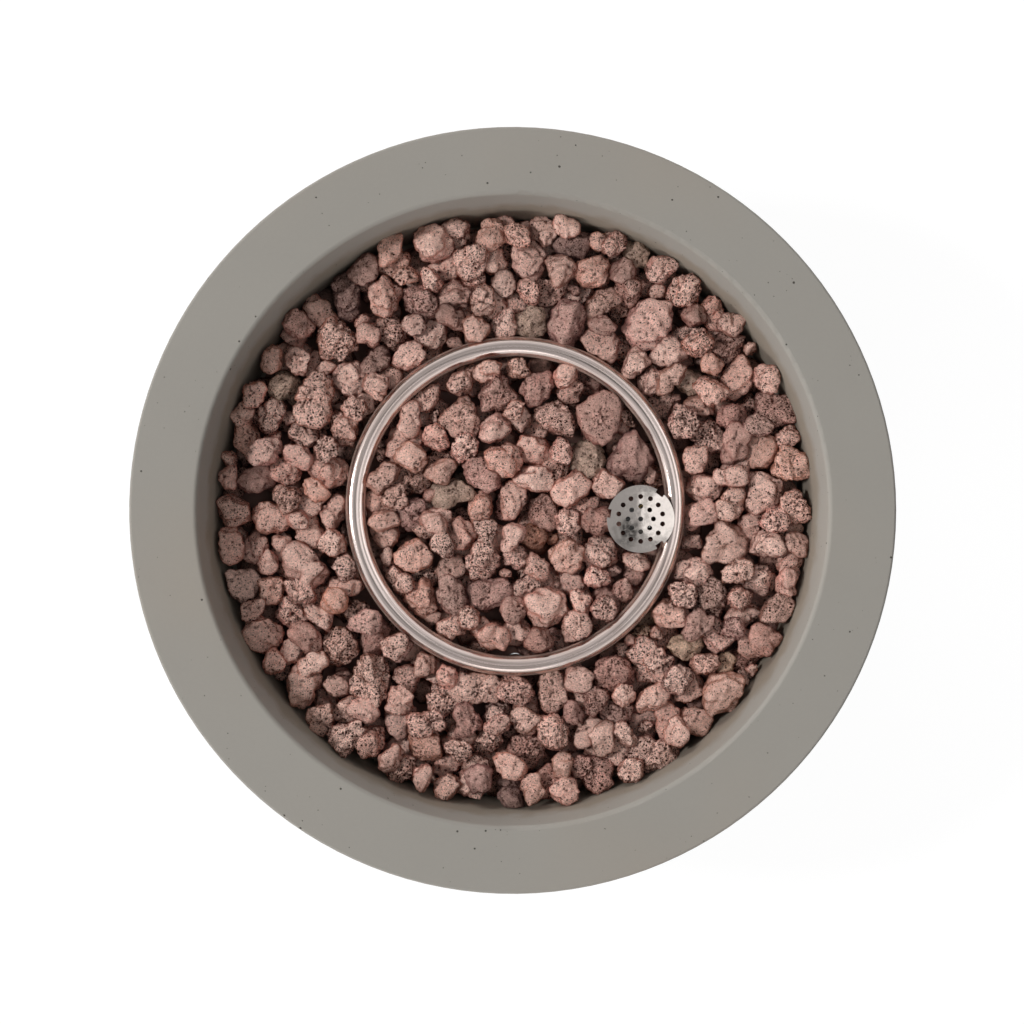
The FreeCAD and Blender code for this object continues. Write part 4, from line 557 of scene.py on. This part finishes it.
def lava_finish():
    """Porous red-brown lava: each stone's own tone, pale dust with a painted highlight on upward faces, and
    gas pores painted dark as their shade, more if spongy.
    """
    made, tree, principled, place = material("lava_stone")
    stone = shader(tree, "Attribute", attribute_name="stone_tone").outputs
    pit = shader(tree, "Attribute", attribute_name="gas_pit").outputs["Fac"]
    sponge = shader(tree, "Attribute", attribute_name="sponge").outputs["Fac"]
    tone = use(tree, MOTTLE, Place=place, Colour=stone["Color"], Scale=60.0, Fine_Scale=240.0, Amount=2.2)
    # Dust and painted highlight: upward faces are made paler
    dust_and_painted_light = maths(tree, "MULTIPLY", stone["Alpha"], ROCK_DUST_AND_HIGHLIGHT_COVER)
    pale = opaque(ROCK_DUST_AND_HIGHLIGHT)
    with_dust_and_painted_light = use(tree, DUST_AND_PAINTED_LIGHT, Place=place, Colour=tone["Colour"], Dust=pale, Scale=210.0, Amount=dust_and_painted_light)["Colour"]
    grit = ramp(tree, sponge, 0.0, 1.0, 2.6, 4.2)
    gritty = use(tree, MOTTLE, Place=place, Colour=with_dust_and_painted_light, Scale=640.0, Fine_Scale=1300.0, Amount=grit)
    drift = shader(tree, "TexNoise", {"Vector": place, "Scale": 420.0, "Detail": 2.0}).outputs["Color"]
    drift = {0: drift, 1: (1.2 * MM,) * 3, 2: place}
    bent = shader(tree, "VectorMath", drift, operation="MULTIPLY_ADD").outputs[0]
    crowd = ramp(tree, noise(tree, place, 48.0, 2.0), 0.3, 0.7, 0.45, 1.0)
    crowd = maths(tree, "MULTIPLY", crowd, ramp(tree, sponge, 0.0, 1.0, 0.22, 1.0))
    wide = ramp(tree, sponge, 0.0, 1.0, 0.75 * MM, 1.1 * MM)
    large = use(tree, PINHOLES, Place=bent, Scale=330.0, Radius=wide, Share=crowd)["Hole"]
    small = use(tree, PINHOLES, Place=bent, Scale=640.0, Radius=0.65 * MM, Share=crowd)["Hole"]
    pores = maths(tree, "MAXIMUM", large, maths(tree, "MULTIPLY", small, 0.9))
    # Pores and gas pits are painted dark: painted shade inside them
    deep = maths(tree, "MAXIMUM", pores, ramp(tree, pit, 0.15, 0.85, 0.0, 0.85))
    tree.links.new(mixed(tree, deep, gritty["Colour"], opaque(PORE_SHADE_TONE)), principled["Base Color"])
    rough = bump(tree, noise(tree, place, 480.0, 6.0, 0.8), 2.2 * MM, 1.0)
    pitted = bump(tree, maths(tree, "SUBTRACT", 1.0, pores), 1.2 * MM, 1.0, rough)
    tree.links.new(pitted, principled["Normal"])
    principled["Roughness"].default_value = 0.95
    principled["Specular IOR Level"].default_value = 0.15
    return made


def metal_finish(name, tone, low, high, stretch=(1.0, 1.0, 1.0), relief=0.02 * MM):
    """Bare metal whose roughness drifts between low and high, with fine marks drawn out by stretch."""
    made, tree, principled, place = material(name)
    drawn = shader(tree, "Mapping", {"Vector": place, "Scale": stretch}).outputs[0]
    marks = {"Scale": METAL_MARKS, "Fine_Scale": METAL_MARKS * 6, "Amount": 0.25}
    tint = use(tree, MOTTLE, Place=drawn, Colour=opaque(tone), **marks)
    tree.links.new(tint["Colour"], principled["Base Color"])
    tree.links.new(ramp(tree, tint["Cloud"], 0.3, 0.7, low, high), principled["Roughness"])
    tree.links.new(bump(tree, noise(tree, drawn, METAL_MARKS * 5), relief, 0.4), principled["Normal"])
    principled["Metallic"].default_value = 1.0
    return made


def ring_finish():
    """Drawn and polished tube: fine lines along its length, which is round the ring, and a faint heat tint.

    The lines follow the distance from the ring's middle and the height, so they run round the ring. Its
    flanks, down among the rocks, are painted brown and less metallic: a painted reflection of the rocks.
    """
    made, tree, principled, place = material("ring_steel")
    low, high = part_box("burner_ring")
    middle = ((low.x + high.x) / 2, (low.y + high.y) / 2, 0.0)
    flat = shader(tree, "VectorMath", {0: place, 1: middle}, operation="SUBTRACT").outputs[0]
    flat = shader(tree, "VectorMath", {0: flat, 1: (1.0, 1.0, 0.0)}, operation="MULTIPLY").outputs[0]
    far = shader(tree, "VectorMath", {0: flat}, operation="LENGTH").outputs["Value"]
    height = shader(tree, "SeparateXYZ", {0: place}).outputs["Z"]
    across = shader(tree, "CombineXYZ", {0: far, 1: height}).outputs[0]
    wander = {0: place, 1: (0.02,) * 3, 2: across}
    wander = shader(tree, "VectorMath", wander, operation="MULTIPLY_ADD").outputs[0]
    lines = noise(tree, wander, 700.0, 3.0, 0.6)
    heat = ramp(tree, noise(tree, place, 16.0, 2.0), 0.4, 0.75, 0.0, 0.6)
    tone = mixed(tree, heat, opaque(RING_TONE), opaque(RING_HEAT_TONE))
    rising = shader(tree, "SeparateXYZ", {0: shader(tree, "NewGeometry").outputs["Normal"]}).outputs["Z"]
    # Painted reflection of the rocks: the flanks get a brown tone, and less metal below
    tone = mixed(tree, ramp(tree, rising, 0.4, 0.95), opaque(RING_FLANK_REFLECTION_TONE), tone)
    streak = ramp(tree, lines, 0.3, 0.7, 0.80, 1.08)
    tone = shader(tree, "VectorMath", {0: tone, "Scale": streak}, operation="SCALE").outputs[0]
    tree.links.new(tone, principled["Base Color"])
    tree.links.new(ramp(tree, lines, 0.3, 0.7, 0.13, 0.27), principled["Roughness"])
    tree.links.new(bump(tree, lines, 0.07 * MM, 0.8), principled["Normal"])
    tree.links.new(ramp(tree, rising, 0.3, 0.8, 0.4, 1.0), principled["Metallic"])
    return made


def cap_finish():
    """Polished stamped sheet, slightly uneven, with a few scuffs."""
    made, tree, principled, place = material("cap_steel")
    tint = use(tree, MOTTLE, Place=place, Colour=opaque(CAP_TONE), Scale=60.0, Fine_Scale=700.0, Amount=0.3)
    tree.links.new(tint["Colour"], principled["Base Color"])
    scuffs = noise(tree, place, 260.0, 5.0, 0.7)
    tree.links.new(ramp(tree, scuffs, 0.35, 0.75, 0.06, 0.26), principled["Roughness"])
    tree.links.new(bump(tree, noise(tree, place, 42.0, 2.0), CAP_WAVE), principled["Normal"])
    principled["Metallic"].default_value = 1.0
    return made


def dusty_shaded_pan_finish():
    """Pan steel under red-brown rock dust, painted dark on its upward faces, which also serves as painted
    shade in the gaps between the rocks.
    """
    made, tree, principled, place = material("dusty_shaded_pan_steel")
    tint = use(tree, MOTTLE, Place=place, Colour=opaque(PAN_TONE), Scale=30.0, Fine_Scale=300.0, Amount=0.4)
    # Dust and painted shade: the upward faces are darkened
    with_dust_and_painted_light = use(tree, DUST_AND_PAINTED_LIGHT, Place=place, Colour=tint["Colour"], Dust=opaque(PAN_DUST_AND_SHADE), Scale=90.0, Amount=1.4)
    tree.links.new(with_dust_and_painted_light["Colour"], principled["Base Color"])
    tree.links.new(ramp(tree, tint["Cloud"], 0.3, 0.7, 0.5, 0.75), principled["Roughness"])
    tree.links.new(bump(tree, noise(tree, place, 500.0, 4.0), 0.3 * MM, 0.6), principled["Normal"])
    principled["Metallic"].default_value = 0.5
    return made


def moulded_finish(name, tone, low, high, scale, relief, specular=0.4):
    """Moulded plastic, rubber or ceramic with a fine even grain."""
    made, tree, principled, place = material(name)
    tint = use(tree, MOTTLE, Place=place, Colour=opaque(tone), Scale=scale / 8, Fine_Scale=scale, Amount=0.3)
    tree.links.new(tint["Colour"], principled["Base Color"])
    tree.links.new(ramp(tree, tint["Cloud"], 0.3, 0.7, low, high), principled["Roughness"])
    tree.links.new(bump(tree, noise(tree, place, scale), relief, 0.6), principled["Normal"])
    principled["Specular IOR Level"].default_value = specular
    return made


FINISHES = {
    "concrete": concrete_finish(),
    "ring_steel": ring_finish(),
    "cap_steel": cap_finish(),
    "dusty_shaded_pan_steel": dusty_shaded_pan_finish(),
    "polished_steel": metal_finish("polished_steel", (0.70, 0.68, 0.665), 0.05, 0.12, relief=0.004 * MM),
    "pan_steel": metal_finish("brushed_pan_steel", (0.45, 0.45, 0.45), 0.35, 0.5, (1.0, 14.0, 1.0)),
    "zinc_steel": metal_finish("zinc_plated_steel", (0.62, 0.62, 0.60), 0.25, 0.42),
    "brass": metal_finish("machined_brass", (0.80, 0.58, 0.27), 0.22, 0.36),
    "aluminium_tube": metal_finish("drawn_aluminium", (0.80, 0.80, 0.81), 0.25, 0.4),
    "copper": metal_finish("bare_copper", (0.80, 0.42, 0.28), 0.25, 0.42),
    "black_plastic": moulded_finish("black_plastic", (0.022, 0.022, 0.024), 0.38, 0.52, 900.0, 0.05 * MM),
    "rubber": moulded_finish("black_rubber", (0.02, 0.02, 0.02), 0.7, 0.85, 600.0, 0.08 * MM, 0.25),
    "silicone": moulded_finish("red_silicone", (0.35, 0.055, 0.04), 0.45, 0.6, 500.0, 0.03 * MM),
    "ceramic": moulded_finish("white_ceramic", (0.78, 0.76, 0.71), 0.18, 0.3, 300.0, 0.01 * MM, 0.5),
}
WORN_BY = {
    "concrete": ("bowl_casting",),
    "ring_steel": ("burner_ring",),
    "cap_steel": ("guard_cap",),
    "dusty_shaded_pan_steel": ("burner_pan",),
    "polished_steel": ("mixer_tube",),
    "pan_steel": ("control_panel", "burner_legs", "guard_sleeve", "igniter_bracket"),
    "zinc_steel": ("foot_screws", "pan_screws", "burner_screws", "burner_nuts", "panel_screws",
                   "valve_screws", "igniter_locknut", "electrode_rod", "thermocouple_probe"),
    "brass": ("gas_orifice", "valve_plug", "valve_bonnet", "valve_body", "valve_stem", "safety_magnet",
              "magnet_nut", "thermocouple_nut", "inlet_fitting", "inlet_locknut", "supply_tube_nuts",
              "valve_inlet_nut", "fitting_nut"),
    "aluminium_tube": ("supply_tube", "inlet_tube"),
    "copper": ("thermocouple_lead",),
    "black_plastic": ("control_knob", "igniter_body", "igniter_button"),
    "rubber": ("rubber_feet",),
    "silicone": ("ignition_wire",),
    "ceramic": ("electrode_insulator",),
}


def dress_nodes():
    """Gives every CAD node its finish."""
    for finish, wearers in WORN_BY.items():
        for node in wearers:
            slots = frame["nodes"][node].data.materials
            slots.clear()
            slots.append(FINISHES[finish])


# Stage
def floor():
    """A wide pale floor that glows white to the lens and in reflections, and keeps a faint shadow."""
    made, tree, principled, _ = material("studio_floor")
    principled["Base Color"].default_value = opaque((FLOOR_TONE,) * 3)
    principled["Roughness"].default_value = 0.9
    principled["Specular IOR Level"].default_value = 0.0
    path = shader(tree, "LightPath").outputs
    seen = maths(tree, "MAXIMUM", path["Is Camera Ray"], path["Is Glossy Ray"])
    seen = maths(tree, "MAXIMUM", seen, path["Is Transmission Ray"])
    glow = shader(tree, "Emission", {"Color": opaque((1.0,) * 3), "Strength": FLOOR_GLOW}).outputs[0]
    shade = shader(tree, "BsdfDiffuse", {"Color": opaque((FLOOR_SHADE,) * 3)}).outputs[0]
    white = shader(tree, "AddShader", {0: glow, 1: shade}).outputs[0]
    lit = tree.nodes["Principled BSDF"].outputs[0]
    shown = shader(tree, "MixShader", {0: seen, 1: lit, 2: white}).outputs[0]
    tree.links.new(shown, tree.nodes["Material Output"].inputs["Surface"])
    half = FLOOR_SIZE / 2
    mesh = bpy.data.meshes.new("floor")
    corners = [(-half, -half, 0), (half, -half, 0), (half, half, 0), (-half, half, 0)]
    mesh.from_pydata(corners, [], [(0, 1, 2, 3)])
    mesh.materials.append(made)
    piece = bpy.data.objects.new("floor", mesh)
    bpy.context.scene.collection.objects.link(piece)


def sky_way(turn, height):
    """Direction from the bowl to a place in the sky, by its turn and height in degrees."""
    flat = math.cos(math.radians(height))
    turn = math.radians(turn)
    return Vector((flat * math.cos(turn), flat * math.sin(turn), math.sin(math.radians(height))))


def soft_lamp(name, turn, height, distance, width, rise, brightness, lights=True, mirrored=True):
    """A flat soft lamp that looks at the bowl's mouth; its power is its brightness times its area and pi.

    It can light the bowl without being mirrored in the metal, or only be mirrored there.
    """
    data = bpy.data.lights.new(name, "AREA")
    data.shape = "RECTANGLE"
    data.size = width
    data.size_y = rise
    data.energy = brightness * width * rise * math.pi
    lamp = bpy.data.objects.new(name, data)
    back = sky_way(turn, height)
    lamp.location = Vector((0, 0, cad_high.z)) + back * distance
    lamp.rotation_mode = "QUATERNION"
    lamp.rotation_quaternion = (-back).to_track_quat("-Z", "Y")
    lamp.visible_diffuse = lights
    lamp.visible_glossy = mirrored
    bpy.context.scene.collection.objects.link(lamp)


def studio():
    """Key lamp from the left between two soft ones, weak lamps for the metal to mirror and a pale surround.

    The metal mirrors that surround dimmer overhead, with a dark patch by the lens for a photographer's gear.
    """
    soft_lamp("key_lamp", *KEY_LAMP, mirrored=False)
    soft_lamp("glint_lamp", *GLINT_LAMP, lights=False)
    for number, lamp in enumerate(SIDE_LAMPS, 1):
        soft_lamp(f"side_lamp_{number}", *lamp, mirrored=False)
    soft_lamp("right_lamp", *RIGHT_LAMP)
    soft_lamp("front_lamp", *FRONT_LAMP)
    soft_lamp("top_lamp", *TOP_LAMP)
    world = bpy.data.worlds.new("studio")
    world.use_nodes = True
    tree = world.node_tree
    backdrop = tree.nodes["Background"].inputs
    path = shader(tree, "LightPath").outputs
    backdrop["Color"].default_value = opaque((1.0,) * 3)
    sky = shader(tree, "TexCoord").outputs["Generated"]
    height = shader(tree, "SeparateXYZ", {0: sky}).outputs["Z"]
    walls = ramp(tree, height, HORIZON_ENDS, 1.0, 1.0, CEILING_STRENGTH)
    turn, rise, inner, outer, dim = OVERHEAD_SHADE
    gear = {0: sky, 1: sky_way(turn, rise)}
    near = shader(tree, "VectorMath", gear, operation="DOT_PRODUCT").outputs["Value"]
    bounds = math.cos(math.radians(outer)), math.cos(math.radians(inner))
    walls = maths(tree, "MULTIPLY", walls, ramp(tree, near, *bounds, 1.0, dim))
    glossy = maths(tree, "MAXIMUM", path["Is Glossy Ray"], path["Is Transmission Ray"])
    plain = maths(tree, "SUBTRACT", maths(tree, "SUBTRACT", 1.0, glossy), path["Is Camera Ray"])
    strength = maths(tree, "ADD", path["Is Camera Ray"], maths(tree, "MULTIPLY", glossy, walls))
    fill = maths(tree, "MULTIPLY", plain, FILL_STRENGTH)
    tree.links.new(maths(tree, "ADD", strength, fill), backdrop["Strength"])
    bpy.context.scene.world = world


def camera():
    """The lens straight above the bowl, with the bowl's place in the frame."""
    data = bpy.data.cameras.new("camera")
    data.sensor_width = SENSOR
    data.lens = SENSOR * CAMERA_RISE / FRAME_WIDTH
    data.clip_end = 100.0
    lens = bpy.data.objects.new("camera", data)
    lens.location = (-BOWL_IN_FRAME[0], -BOWL_IN_FRAME[1], cad_high.z + CAMERA_RISE)
    bpy.context.scene.collection.objects.link(lens)
    bpy.context.scene.camera = lens


dress_nodes()
lava = lava_finish()
for bed in BED_SECTORS:
    lava_rocks(bed, lava)
pressed_springs(FINISHES["zinc_steel"])
floor()
studio()
camera()
bpy.context.scene.view_settings.view_transform = "Standard"
